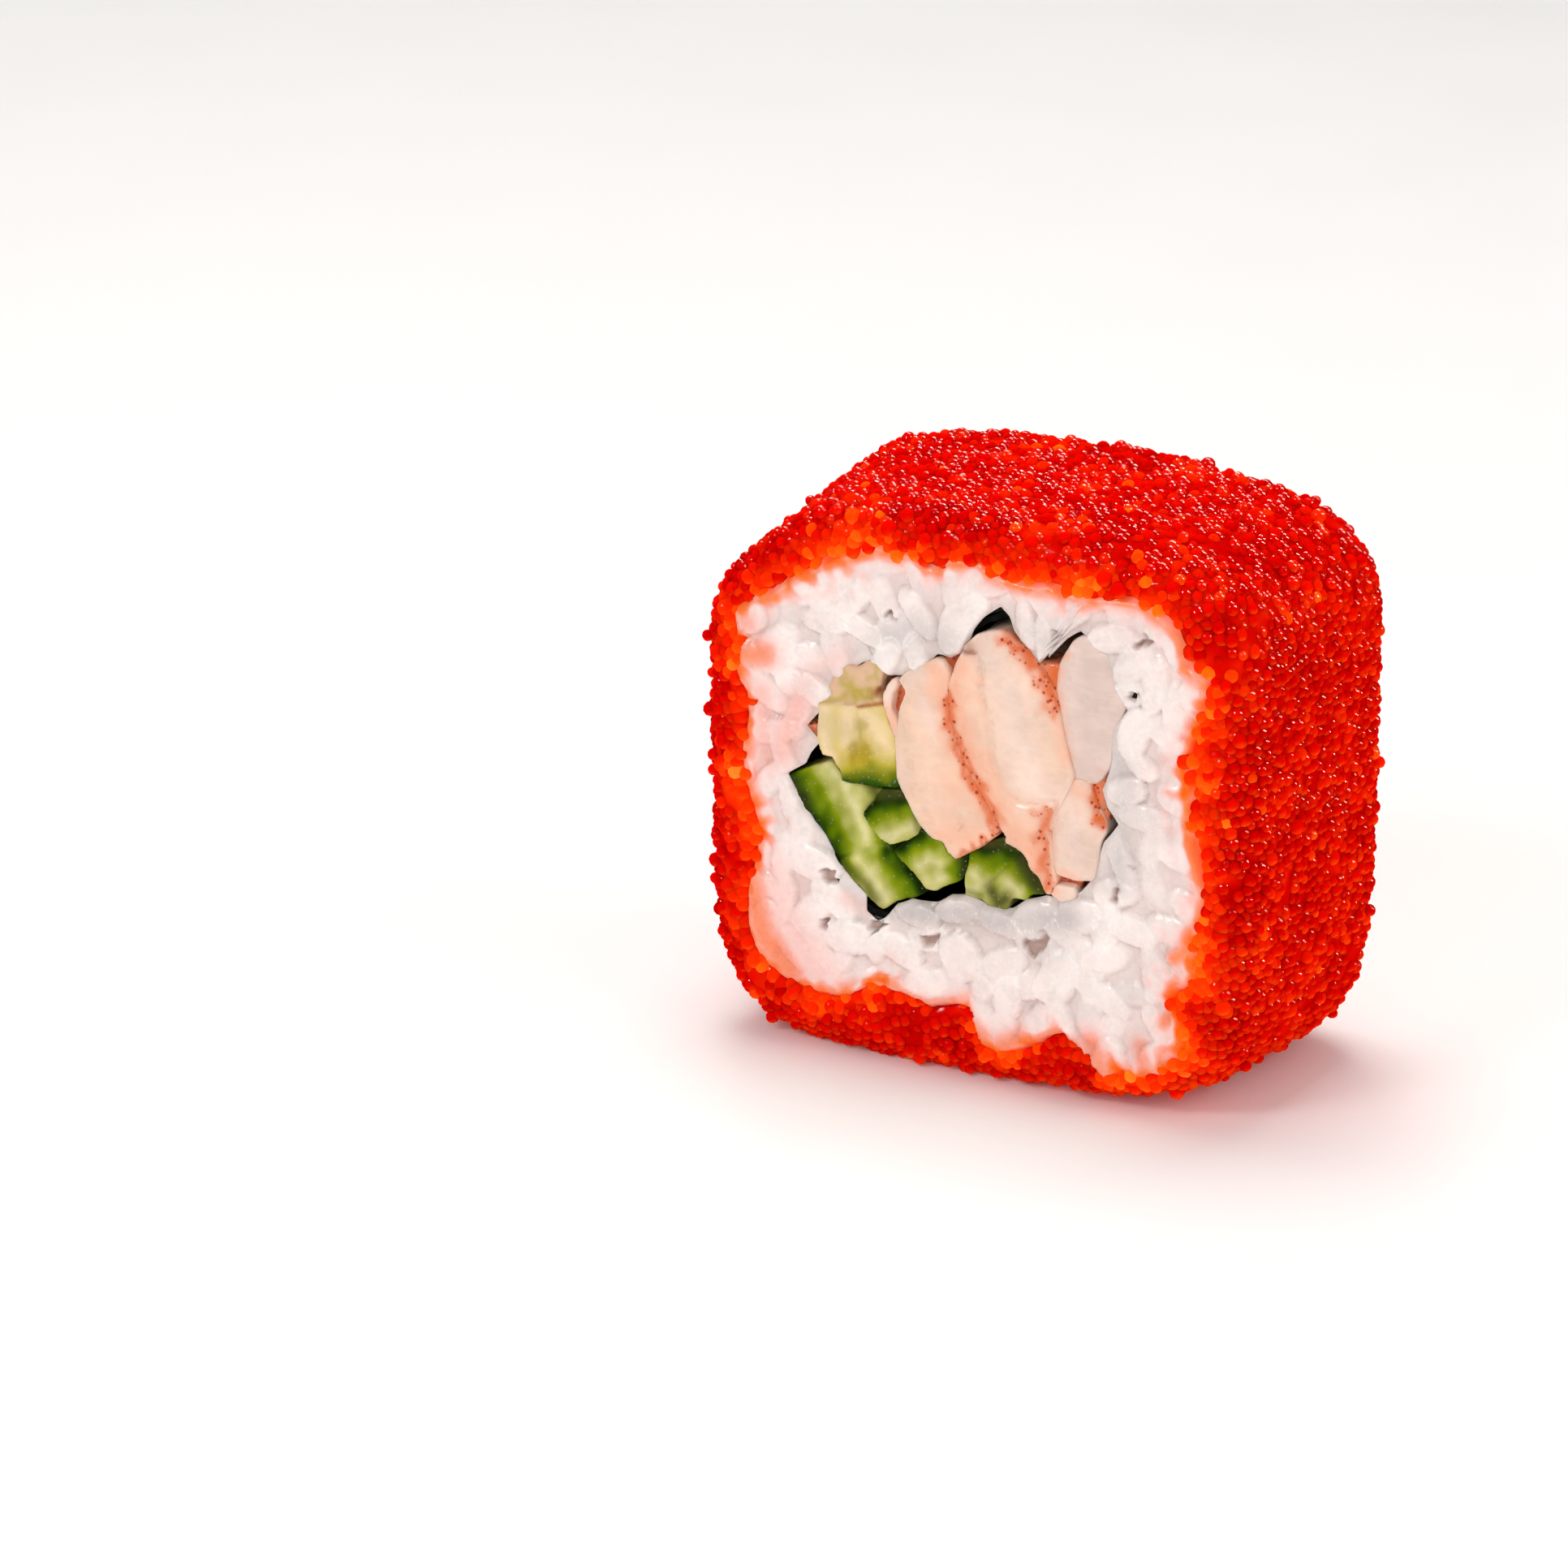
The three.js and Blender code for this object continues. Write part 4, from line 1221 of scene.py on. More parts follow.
behind = LENGTH / 2 - NORI_RECESS + NORI_END_GAP
front_opening_at, front_x, front_z, front_height, front_values = front
back_opening_at, back_x, back_z, back_height, back_values = back
front_sheet = np.stack((front_x, -LENGTH / 2 - front_height, front_z), -1)
back_sheet = from_rim(np.stack((back_x, LENGTH / 2 + back_height, back_z), -1))
front_lip, back_lip = front_sheet[:RICE_COLUMNS], back_sheet[-RICE_COLUMNS:]
wall = [
    back_lip - (0, LIP_THICK, 0), ring_row(back_opening_at, behind), ring_row(nori_wall, behind),
    ring_row(nori_wall, -behind), ring_row(front_opening_at, -behind), front_lip + (0, LIP_THICK, 0),
]
points = np.concatenate([front_sheet, back_sheet, *wall])
rows = len(points) // RICE_COLUMNS
wall_points = len(wall) * RICE_COLUMNS
values = {}
for key, numbers in front_values.items():
    values[key] = np.concatenate([numbers, from_rim(back_values[key])[:, 0], np.zeros(wall_points)])
values["nori_side"] = np.concatenate([np.zeros(len(points) - wall_points), np.ones(wall_points)])
rice_mesh = mesh_from("rice", points, ring_faces(rows, RICE_COLUMNS)[:, ::-1], values)
print("rice", len(points), "points")

# %% [markdown]
# Cooked rice is white with clearer, greyer places inside each grain, and a wet shine. The colour goes
# through what the mesh carries, one layer after another: grey grains, a shade for each grain, painted
# highlights along the grains' edges, specks of painted sparkle, the juice of the eggs from pale pink to
# orange, and painted shade in the pockets and creases. The unseen wall is as dark as the nori behind it.

# %% The rice's finish
rice_material, tree, shader = new_material("rice")
inner = blend_colour(tree, carried(tree, "grey"), (0.97, 0.862, 0.83), (0.58, 0.53, 0.52))
grain_tone = calculate(tree, "MULTIPLY_ADD", carried(tree, "shade"), 0.26, 0.08, clamp=True)
clouds = noise(tree, object_place(tree), 480.0, 6.0, Roughness=0.62)
clear = map_range(tree, clouds, 0.5, 0.72, 0.0, 0.6)
grain_tone = calculate(tree, "MAXIMUM", grain_tone, clear)
toned = blend_colour(tree, grain_tone, inner, (0.70, 0.63, 0.615))
# painted highlight along the grains' edges
line = calculate(tree, "MULTIPLY", carried(tree, "edge_highlight"), 0.6)
highlight_lined = blend_colour(tree, line, toned, (1.0, 0.95, 0.93))
cloudy = use_group(tree, blotch, Color=highlight_lined, Scale=420.0, Amount=0.05)
# specks of painted sparkle on the wet rice
milky = use_group(tree, speck, Color=cloudy["Color"], Scale=2600.0, Amount=0.5)
stain = carried(tree, "stain")
juice = ramp(
    tree, stain,
    (0.0, (0.97, 0.72, 0.68)), (0.35, (0.99, 0.57, 0.52)), (0.55, (0.99, 0.42, 0.33)),
    (0.75, (1.0, 0.26, 0.10)), (1.0, (1.0, 0.15, 0.004)),
)
stained = blend_colour(tree, map_range(tree, stain, 0.02, 0.5), milky["Color"], juice)
# painted shade in the pockets and creases
dark = blend_colour(tree, carried(tree, "pocket"), stained, (0.52, 0.36, 0.32))
backed = blend_colour(tree, carried(tree, "nori_side"), dark, (0.008, 0.009, 0.006))
moist = use_group(tree, film, Scale=1500.0, Dry=0.40, Wet=0.12)
set_shader(
    tree, shader, Base_Color=backed, Roughness=moist["Roughness"], IOR=1.36,
    Normal=bump(tree, moist["Height"], 0.6, 0.15), Subsurface_Weight=0.3,
    Subsurface_Radius=(1.0, 0.65, 0.55), Subsurface_Scale=0.7 * MM,
)
add_piece("rice_grains", rice_mesh, rice_material, ["rice"])

# %% [markdown]
# ## The nori
# A sheet of pressed seaweed lies between rice and fillings. Damp, it goes black and a little crinkled,
# and it shows only as dark lines and corners. Its solid is thin already, so a copy of it is divided
# finely and creased.

# %% The nori
NORI_CUTS, CRINKLE = 3, 0.05

nori_bm = bmesh.new()
nori_bm.from_mesh(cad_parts["nori"].data)
bmesh.ops.subdivide_edges(nori_bm, edges=nori_bm.edges[:], cuts=NORI_CUTS, use_grid_fill=True)
bmesh.ops.triangulate(nori_bm, faces=nori_bm.faces[:])
nori_mesh = bpy.data.meshes.new("nori")
nori_bm.to_mesh(nori_mesh)
nori_bm.free()
nori_mesh.materials.clear()
points = points_of(nori_mesh)
away = points[:, [0, 2]] - RICE_MIDDLE
away /= np.linalg.norm(away, axis=1)[:, None]
crinkle = CRINKLE * waves(points, 0.8, 51) - 0.02
points[:, [0, 2]] += away * crinkle[:, None]
place_points(nori_mesh, points)
nori_mesh.shade_smooth()

nori_material, tree, shader = new_material("nori")
fibre = use_group(tree, film, Scale=2200.0, Dry=0.55, Wet=0.3)
sheet_colour = use_group(tree, blotch, Color=(0.005, 0.0055, 0.004, 1), Scale=700.0, Amount=0.4)
set_shader(
    tree, shader, Base_Color=sheet_colour["Color"], Roughness=fibre["Roughness"], Specular_IOR_Level=0.25,
    Normal=bump(tree, fibre["Height"], 0.6, 0.15),
)
add_piece("nori_sheet", nori_mesh, nori_material, ["nori"])

# %% [markdown]
# Deep inside the roll a dark plate in the nori's finish lies across between the fillings. It stands in for
# the shade there, so that no light comes through from the other side. It is hardly ever seen, so a plain
# wavy plate will do.

# %% A dark plate for the shade inside
SHADE_PLATE_HALF = 1.5
PLATE_COLUMNS, PLATE_RINGS = 90, 10
PLATE_OVER, PLATE_WAVES = 0.1, 0.4

angle = np.arange(PLATE_COLUMNS) / PLATE_COLUMNS * 2 * np.pi
reach = reach_at(angle, nori_inside) + PLATE_OVER
edge = RICE_MIDDLE + np.stack((np.cos(angle), np.sin(angle)), -1) * reach[:, None]
# a dark plate that stands in for the shade deep inside the roll
rings = []
for side in (-1, 1):
    for share in np.linspace(0.02, 1, PLATE_RINGS)[::side]:
        flat = RICE_MIDDLE + (edge - RICE_MIDDLE) * share
        ring = ring_row(flat, side * SHADE_PLATE_HALF)
        ring[:, 1] += PLATE_WAVES * waves(flat, 2.5, 61)
        rings.append(ring)
shade_plate_points = np.concatenate(rings)
shade_plate_mesh = mesh_from("inner_shade_plate", shade_plate_points, ring_faces(len(rings), PLATE_COLUMNS)[:, ::-1])
add_piece("inner_shade_plate", shade_plate_mesh, nori_material)

# %% [markdown]
# ## Helpers for the fillings
# Each filling starts as a thick plate with the outline of its cut end, which runs through the roll where
# its solid lies. The plate is remeshed finely, its corners are rubbed down, and it swells a little to
# touch its neighbours. Only the ends are ever seen, so it is pressed together lengthwise before remeshing
# and drawn out again after it: the ends come out fine and the middle coarse. Details on the cut ends are
# then strokes: a line in the section, how far it reaches and how strong it is. Outlines and strokes were
# read off the picture, where a piece that lies deeper looks shifted up and right, so they are slid back
# by their depth.

# %% Helpers for the fillings
VOXEL = 0.18
RAGGED = 0.25  # how far the edges of strokes stray
END_LENGTH = 3.5
MIDDLE_SHARE = 0.15
FLAT_MIDDLE = LENGTH / 2 - END_LENGTH


def squeeze(y):
    """Places along the roll, with its middle pressed together."""
    size = np.abs(y)
    return np.sign(y) * (np.minimum(size, FLAT_MIDDLE) * MIDDLE_SHARE + np.maximum(size - FLAT_MIDDLE, 0))


def draw_out(y):
    """The opposite of squeeze."""
    size, short = np.abs(y), FLAT_MIDDLE * MIDDLE_SHARE
    return np.sign(y) * (np.minimum(size, short) / MIDDLE_SHARE + np.maximum(size - short, 0))


def normals_of(mesh):
    """A mesh's normals at its points."""
    flat = np.empty(len(mesh.vertices) * 3, np.float32)
    mesh.vertices.foreach_get("normal", flat)
    return flat.reshape(-1, 3).astype(float)


def softened(mesh, smoothing, grow):
    """A finely remeshed copy of a closed mesh, rubbed smooth and grown, with its points and normals."""
    points = points_of(mesh)
    points[:, 1] = squeeze(points[:, 1])
    place_points(mesh, points)
    start = bpy.data.objects.new("soft_start", mesh)
    scene.collection.objects.link(start)
    remesh = start.modifiers.new("remesh", "REMESH")
    remesh.mode = "VOXEL"
    remesh.voxel_size = VOXEL * MM
    rub = start.modifiers.new("rub", "SMOOTH")
    rub.factor = 0.5
    rub.iterations = smoothing
    graph = bpy.context.evaluated_depsgraph_get()
    fine = bpy.data.meshes.new_from_object(start.evaluated_get(graph))
    bpy.data.objects.remove(start)
    fine.shade_smooth()
    normals = normals_of(fine)
    points = points_of(fine) + grow * normals
    points[:, 1] = draw_out(points[:, 1])
    return fine, points, normals


def slabs(name, outlines):
    """A mesh of thick plates, each given by how far its ends lie behind the front face and an outline."""
    plates = bmesh.new()
    for near, far, outline in outlines:
        flat = np.array(outline) - near * SLIDE
        y = (near - LENGTH / 2) * MM
        corners = [plates.verts.new((x * MM, y, (z + HEIGHT / 2) * MM)) for x, z in flat]
        face = plates.faces.new(corners)
        moved = bmesh.ops.extrude_face_region(plates, geom=[face])["geom"]
        corners = [part for part in moved if isinstance(part, bmesh.types.BMVert)]
        bmesh.ops.translate(plates, verts=corners, vec=(0, (far - near) * MM, 0))
    bmesh.ops.recalc_face_normals(plates, faces=plates.faces[:])
    mesh = bpy.data.meshes.new(name)
    plates.to_mesh(mesh)
    plates.free()
    return mesh


print("the ends are fine for", END_LENGTH, "mm")

# %% [markdown]
# Some details belong only on the cut ends, or only along their edges. Whether a point is on an end shows
# in its normal, and how far it lies from the edge is found with a tree of the points on the sides.

# %% Helpers for the cut ends


def facing_out(normals):
    """1 on the front end, -1 on the back end and 0 on the sides."""
    return ease(0.3, 0.8, -normals[:, 1]) - ease(0.3, 0.8, normals[:, 1])


def edge_distance(points, normals):
    """How far the points of the ends lie from the sides, seen along the roll."""
    flat = points * (1, 0, 1)
    wall = np.abs(normals[:, 1]) < 0.4
    tree = KDTree(int(wall.sum()))
    for index, place in enumerate(flat[wall]):
        tree.insert(place, index)
    tree.balance()
    distance = np.zeros(len(points))
    for index in np.flatnonzero(~wall):
        distance[index] = tree.find(flat[index])[2]
    return distance


def dress(mesh, points, values):
    """Moves a mesh's points into place and gives them values to carry."""
    place_points(mesh, points)
    carry(mesh, values)
    return mesh


def least_distance(flat, lines):
    """The distance of section points from the nearest of some lines."""
    return np.min([line_distance(flat, line) for line in lines], axis=0)


print("fillings:", [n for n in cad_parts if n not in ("roe_coat", "rice", "nori")])

# %% [markdown]
# ## Prawn
# Boiled prawn is milky and peach, in rounded lobes that press against each other. Its thin outer skin is
# orange with red-brown dots, and it shows where two lobes meet and in the folds between them. Each lobe
# is a plate of its own outline with a domed end, and it has strokes of skin, blush, white flesh, dark
# shadow and sunken folds.

# %% Prawn
PRAWN = {
    "shrimp_left": {
        "ends": (0.40, 0.7), "grey": 0.0,
        "outline": [
            (-5.0, 8.7), (-4.2, 9.0), (-3.4, 9.6), (-2.8, 10.1), (-2.3, 10.0), (-1.9, 9.3), (-1.75, 8.3),
            (-1.75, 7.2), (-1.55, 5.9), (-1.1, 4.6), (-0.6, 3.4), (0.1, 2.2), (0.9, 1.1), (1.7, -0.2),
            (2.3, -1.0), (2.1, -1.9), (1.2, -2.7), (0.2, -3.5), (-0.5, -4.0), (-1.0, -4.3), (-1.6, -3.9),
            (-2.0, -3.2), (-3.0, -3.0), (-3.8, -2.4), (-4.5, -1.4), (-5.2, -0.2), (-5.8, 0.7),
            (-5.9, 2.0), (-5.85, 3.6), (-5.7, 4.8), (-5.5, 6.0), (-5.0, 7.3), (-5.6, 8.0),
        ],
        "skin": [([(-1.8, 7.2), (-1.7, 5.2), (-1.0, 4.2), (-0.7, 3.1), (0.0, 2.0), (0.9, 1.0), (2.1, -1.2)],
                  0.42, 0.9),
                 ([(2.3, -1.6), (1.5, -2.5), (0.6, -3.2), (-0.3, -3.9), (-0.8, -4.1)], 0.28, 0.85)],
        "blush": [([(-2.6, 8.2), (-1.9, 6.8), (-0.9, 3.6), (1.4, 0.0)], 1.0, 0.6),
                  ([(-1.8, -2.6), (0.6, -2.6)], 1.4, 0.5),
                  ([(-2.8, 9.4), (-2.0, 8.4)], 0.8, 0.6), ([(-1.6, 1.6), (-0.8, 0.6)], 1.0, 0.35)],
        "white": [([(-4.8, 8.4), (-3.6, 8.6)], 0.7, 0.7), ([(-3.3, 6.6), (-2.8, 5.2)], 0.8, 0.7),
                  ([(-5.5, 2.5), (-5.0, 0.5)], 0.6, 0.3)],
        "dark": [([(-0.8, -1.9), (-0.4, -1.8)], 0.1, 0.25)],
        "sunk": [([(-0.9, -1.95), (-0.4, -1.85)], 0.2, 0.2)],
    },
    "shrimp_middle": {
        "ends": (0.25, 0.4), "grey": 0.0,
        "outline": [
            (0.1, 11.9), (0.4, 12.3), (1.2, 12.65), (2.2, 12.85), (2.7, 12.7), (3.3, 12.2), (4.2, 11.7),
            (4.8, 11.1), (5.3, 10.6), (5.9, 9.9), (6.4, 9.0), (6.7, 8.2), (6.95, 7.2), (7.2, 6.0),
            (7.6, 4.8), (7.95, 3.6), (7.75, 2.6), (7.3, 1.6), (7.0, 1.0), (6.6, 0.4), (6.4, -0.8),
            (6.4, -2.2), (6.5, -3.4), (6.8, -4.4), (6.3, -5.6), (6.0, -5.2), (5.6, -4.4), (4.9, -4.0),
            (4.6, -3.3), (4.3, -2.9), (3.6, -2.6), (2.9, -2.4), (3.1, -1.9), (2.7, -1.4), (2.3, -1.0),
            (1.7, -0.2), (0.9, 1.1), (0.1, 2.2), (-0.6, 3.4), (-1.1, 4.6), (-1.55, 5.9), (-1.75, 7.2),
            (-1.75, 8.3), (-1.4, 9.1), (-1.0, 10.1), (-0.6, 10.8), (-0.4, 11.4),
        ],
        "skin": [([(2.8, 12.5), (4.0, 11.9), (5.0, 11.0), (5.8, 10.2), (6.4, 9.2), (6.6, 8.3)], 0.75, 1.0),
                 ([(6.0, 0.2), (5.8, -1.4), (5.8, -3.0), (6.1, -4.6), (6.4, -5.2)], 0.6, 0.85),
                 ([(6.6, 0.6), (5.4, 0.2)], 0.5, 0.5),
                 ([(-1.75, 7.6), (-1.55, 5.8), (-1.05, 4.5), (-0.5, 3.4), (0.2, 2.2), (1.0, 1.1),
                   (2.2, -0.8)], 0.55, 0.9)],
        "blush": [([(-1.0, 9.8), (-1.3, 7.5), (-0.6, 5.0), (0.6, 3.0), (1.8, 1.2)], 1.2, 0.7),
                  ([(2.2, 0.4), (3.4, -1.4), (4.4, -2.2), (5.0, -3.4)], 1.3, 0.65),
                  ([(6.9, 7.5), (7.3, 5.8), (7.6, 4.2)], 0.5, 0.5), ([(0.4, 9.3), (0.7, 9.2)], 0.3, 0.5),
                  ([(0.4, 7.8), (0.8, 7.7)], 0.3, 0.5)],
        "white": [([(1.6, 11.6), (3.2, 9.0), (3.8, 6.0), (4.6, 3.0), (5.6, 2.0)], 1.9, 0.75)],
        "dark": [([(-0.3, 11.3), (0.1, 11.1)], 0.3, 0.8),
                 ([(0.5, 11.4), (0.85, 10.2), (0.9, 8.6), (1.3, 6.9)], 0.1, 0.14),
                 ([(4.6, 0.9), (5.3, 1.0)], 0.1, 0.2), ([(4.5, 3.3), (4.8, 2.7)], 0.09, 0.16)],
        "sunk": [([(3.4, 12.7), (5.0, 11.6), (6.2, 10.4), (6.8, 9.0)], 0.45, 0.6),
                 ([(0.3, 11.6), (0.85, 10.2), (0.9, 8.6), (1.3, 6.9), (1.75, 5.4), (1.9, 3.6), (2.6, 1.6)],
                  0.3, 0.3),
                 ([(2.6, 1.6), (4.0, 0.85), (5.4, 0.95), (6.9, 1.2)], 0.3, 0.3),
                 ([(6.4, 0.3), (5.6, -0.4), (5.8, -2.0), (6.0, -4.4)], 0.7, 0.45)],
    },
    "shrimp_right": {
        "ends": (0.75, 0.5), "grey": 1.0,
        "outline": [
            (8.7, 13.7), (8.0, 13.2), (7.4, 12.3), (7.0, 11.4), (6.8, 10.6), (6.75, 9.6), (6.75, 8.6),
            (6.95, 7.2), (7.2, 6.0), (7.6, 4.8), (7.95, 3.6), (8.4, 3.3), (9.3, 3.2), (10.0, 3.4),
            (10.4, 3.9), (10.8, 4.6), (11.0, 5.4), (11.1, 6.6), (11.2, 7.6), (11.7, 8.4), (12.0, 9.2),
            (11.8, 10.0), (11.5, 10.6), (11.2, 11.4), (11.0, 12.0), (10.4, 13.2), (9.5, 13.7),
        ],
        "skin": [([(10.6, 3.9), (10.0, 3.2)], 0.4, 0.7)],
        "blush": [([(6.9, 11.0), (6.9, 8.6), (7.4, 6.2), (7.8, 4.6)], 0.4, 0.5),
                  ([(7.0, 11.8), (7.8, 13.2)], 0.25, 0.8)],
        "white": [([(8.6, 12.4), (8.0, 9.0), (8.8, 5.4)], 0.9, 0.35)],
        "dark": [], "sunk": [],
    },
    "shrimp_lower": {
        "ends": (0.55, 0.8), "grey": 0.45,
        "outline": [
            (7.0, 1.0), (7.3, 1.6), (7.8, 2.8), (8.3, 3.3), (9.2, 3.2), (9.6, 2.2), (10.0, 1.2),
            (10.5, 0.4), (10.6, -0.2), (10.2, -0.9), (10.05, -2.0), (9.9, -3.0), (9.8, -3.9),
            (8.8, -4.05), (7.6, -4.0), (6.9, -3.9), (6.6, -3.0), (6.4, -1.6), (6.5, 0.0), (6.7, 0.6),
        ],
        "skin": [([(10.2, 3.2), (9.8, 2.2), (10.0, 1.2), (10.3, 0.5)], 0.5, 1.0)],
        "blush": [([(8.2, 3.0), (8.8, 2.4)], 0.8, 0.5), ([(6.8, 0.6), (6.6, -1.2), (6.7, -3.2)], 0.3, 0.4),
                  ([(6.8, -3.7), (8.4, -3.9)], 0.4, 0.5)],
        "white": [([(8.4, 0.4), (8.2, -1.4), (8.6, -3.2)], 1.1, 0.6)],
        "dark": [],
        "sunk": [([(10.4, 3.2), (10.0, 2.0), (10.4, 0.8)], 0.5, 0.5)],
    },
}
PRAWN_DOME, PRAWN_DOME_WIDTH = 0.35, 1.1
PRAWN_RUBS, PRAWN_GROW = 3, 0.14  # rounds of smoothing, and how far the lobes swell
SKIN_GROW, SCRAP_GROW = 0.1, 0.05
MEAT_LUMPS, SKIN_LUMPS, SCRAP_LUMPS = 0.06, 0.10, 0.05
# The rim is a painted highlight: a pale line along the cut edge of a lobe.
RIM_LIGHT, RIM_REACH = 0.45, 0.2  # the pale line along the edge of a cut lobe
print("lobes:", list(PRAWN))

# %% [markdown]
# The flesh is peach where it is thick and greyer or whiter where it is thin, with fine pale fibres. Skin
# and its dots lie over it. The strokes say where, and noise and cells give the fibres and dots, which are
# too many to draw.

# %% The prawn's finish
prawn_material, tree, shader = new_material("prawn")
flesh = blend_colour(tree, carried(tree, "grey"), (0.89, 0.62, 0.47), (0.77, 0.60, 0.54))
whiter = blend_colour(tree, carried(tree, "white"), flesh, (0.92, 0.71, 0.62))
milky = use_group(tree, blotch, Color=whiter, Scale=380.0, Amount=0.08)
place = object_place(tree)
along_fibres = add_node(tree, "ShaderNodeMapping", {
    "Vector": place, "Rotation": (0, -0.8, 0), "Scale": (0.4, 0.6, 1.3),
})
fibres = noise(tree, along_fibres.outputs["Vector"], 2000.0, 3.0)
fibre = map_range(tree, fibres, 0.5, 0.72, 0.0, 0.18)
streaked = blend_colour(tree, fibre, milky["Color"], (1.0, 0.87, 0.80))
blush = blend_colour(tree, carried(tree, "blush"), streaked, (0.98, 0.48, 0.32))
skin = carried(tree, "skin")
orange_skin = blend_colour(tree, skin, blush, (0.80, 0.16, 0.035))
dots = add_node(tree, "ShaderNodeTexVoronoi", {"Vector": place, "Scale": 2300.0})
dot = map_range(tree, dots.outputs["Distance"], 0.36, 0.2)
dot = calculate(tree, "MULTIPLY", dot, map_range(tree, skin, 0.3, 0.6))
spotted = blend_colour(tree, dot, orange_skin, (0.45, 0.045, 0.01))
# painted highlight: a pale line along the cut edge of each lobe
rim_highlighted = blend_colour(tree, carried(tree, "rim"), spotted, (1.0, 0.88, 0.81))
shadowed = blend_colour(tree, carried(tree, "dark"), rim_highlighted, (0.25, 0.03, 0.006))
moist = use_group(tree, film, Scale=1100.0, Dry=0.46, Wet=0.24)
set_shader(
    tree, shader, Base_Color=shadowed, Roughness=moist["Roughness"], IOR=1.36,
    Normal=bump(tree, fibres, 0.25, 0.08), Subsurface_Weight=0.25,
    Subsurface_Radius=(1.0, 0.55, 0.4), Subsurface_Scale=0.7 * MM,
)
print("prawn has", len(tree.nodes), "nodes")

# %% [markdown]
# Each lobe is made from its plate: softened, domed at both ends, and sunk along its folds. The strokes
# get ragged edges, because nothing on meat ends in a clean line.

# %% The lobes of prawn
for node, strokes in PRAWN.items():
    near, short = strokes["ends"]
    plate = slabs(node, [(near, LENGTH - short, strokes["outline"])])
    mesh, points, normals = softened(plate, PRAWN_RUBS, PRAWN_GROW)
    flat = as_seen(points)
    outward = facing_out(normals)
    from_side = edge_distance(points, normals)
    dome = PRAWN_DOME * (1 - np.exp(-((from_side / PRAWN_DOME_WIDTH) ** 2)))
    points += normals * (MEAT_LUMPS * waves(points, 1.4, 72))[:, None]
    points[:, 1] -= outward * (dome - painted(flat, strokes["sunk"]))
    ragged = shaken_by(flat, RAGGED, 0.7, 73)
    values = {key: painted(ragged, strokes[key]) for key in ("skin", "blush", "white", "dark")}
    values["grey"] = np.full(len(points), strokes["grey"])
    pale = (1 - values["skin"]) * (1 - values["blush"]) ** 2
    # painted highlight along the cut edge, where there is no skin or blush
    values["rim"] = RIM_LIGHT * pale * np.abs(outward) * np.exp(-((from_side / RIM_REACH) ** 2))
    add_piece(node + "_meat", dress(mesh, points, values), prawn_material, [node])

# %% [markdown]
# Between the lobes lie scraps: folds of skin that close the gaps between them, a thin flap that stands
# off the left lobe, and a crumb of meat below. They are plates cut to the shape of each gap, softened
# like the lobes.

# %% Prawn scraps
# how dark its painted shadow is, how far its ends lie behind the front face, and its outline
SKIN_FOLDS = [
    (0.0, 0.9, 3.2, [(2.4, 13.0), (4.2, 12.3), (5.2, 11.4), (6.9, 11.3), (7.1, 9.5), (7.0, 7.5), (6.0, 8.0),
                     (5.0, 10.5)]),
    (0.0, 1.1, 3.2, [(9.0, 3.6), (10.9, 4.3), (10.7, 2.6), (10.9, 1.2), (10.5, 0.1), (9.0, 0.6)]),
    (0.6, 1.1, 3.2, [(-2.8, 9.4), (-2.2, 10.2), (-1.2, 10.9), (-0.3, 11.5), (-0.5, 9.9), (-1.4, 8.0),
                     (-2.4, 8.4)]),
    (0.4, 1.2, 3.2, [(6.3, -3.7), (9.0, -3.9), (8.8, -4.7), (6.8, -5.1)]),
    (0.35, 1.1, 3.2, [(-6.4, 8.0), (-4.8, 7.8), (-5.5, 4.4), (-6.6, 5.2)]),
    (0.3, 1.0, 3.0, [(-13.5, 3.3), (-13.0, 3.5), (-12.1, 3.5), (-12.1, 2.5), (-12.9, 2.4), (-13.4, 2.7)]),
]
FLAP = (0.3, 2.8, [
    (-6.0, 8.1), (-6.7, 7.5), (-7.0, 6.5), (-6.8, 5.4), (-6.2, 4.0), (-5.7, 3.4), (-5.8, 4.6),
    (-6.3, 5.8), (-6.3, 6.9), (-5.9, 7.6),
])
CRUMB = (0.5, 2.8, [(6.6, -4.8), (8.4, -4.6), (8.5, -5.6), (7.2, -6.0), (6.5, -5.5)])
SCRAP_BLUSH = [([(-6.6, 5.6), (-6.0, 4.4)], 0.6, 0.7), ([(6.8, -5.0), (6.8, -5.6)], 0.4, 0.6)]

skins = slabs("shrimp_skin", [fold[1:] for fold in SKIN_FOLDS])
mesh, points, normals = softened(skins, PRAWN_RUBS, SKIN_GROW)
flat = as_seen(points)
points += normals * (SKIN_LUMPS * waves(points, 0.8, 75))[:, None]
# painted shadow: some folds, deep in the gaps between lobes, are darkened
shade = np.zeros(len(points))
for darkness, _, _, outline in SKIN_FOLDS:
    middle = np.mean(outline, axis=0)
    reach = max(math.hypot(x - middle[0], z - middle[1]) for x, z in outline) + 0.4
    shade[np.hypot(*(flat - middle).T) < reach] = darkness
zero = np.zeros(len(points))
skin_values = {"skin": 0.85 + 0.15 * waves(flat, 1.0, 76), "dark": shade}
skin_values.update(blush=zero, white=zero, grey=zero, rim=zero)
add_piece("shrimp_skin", dress(mesh, points, skin_values), prawn_material)

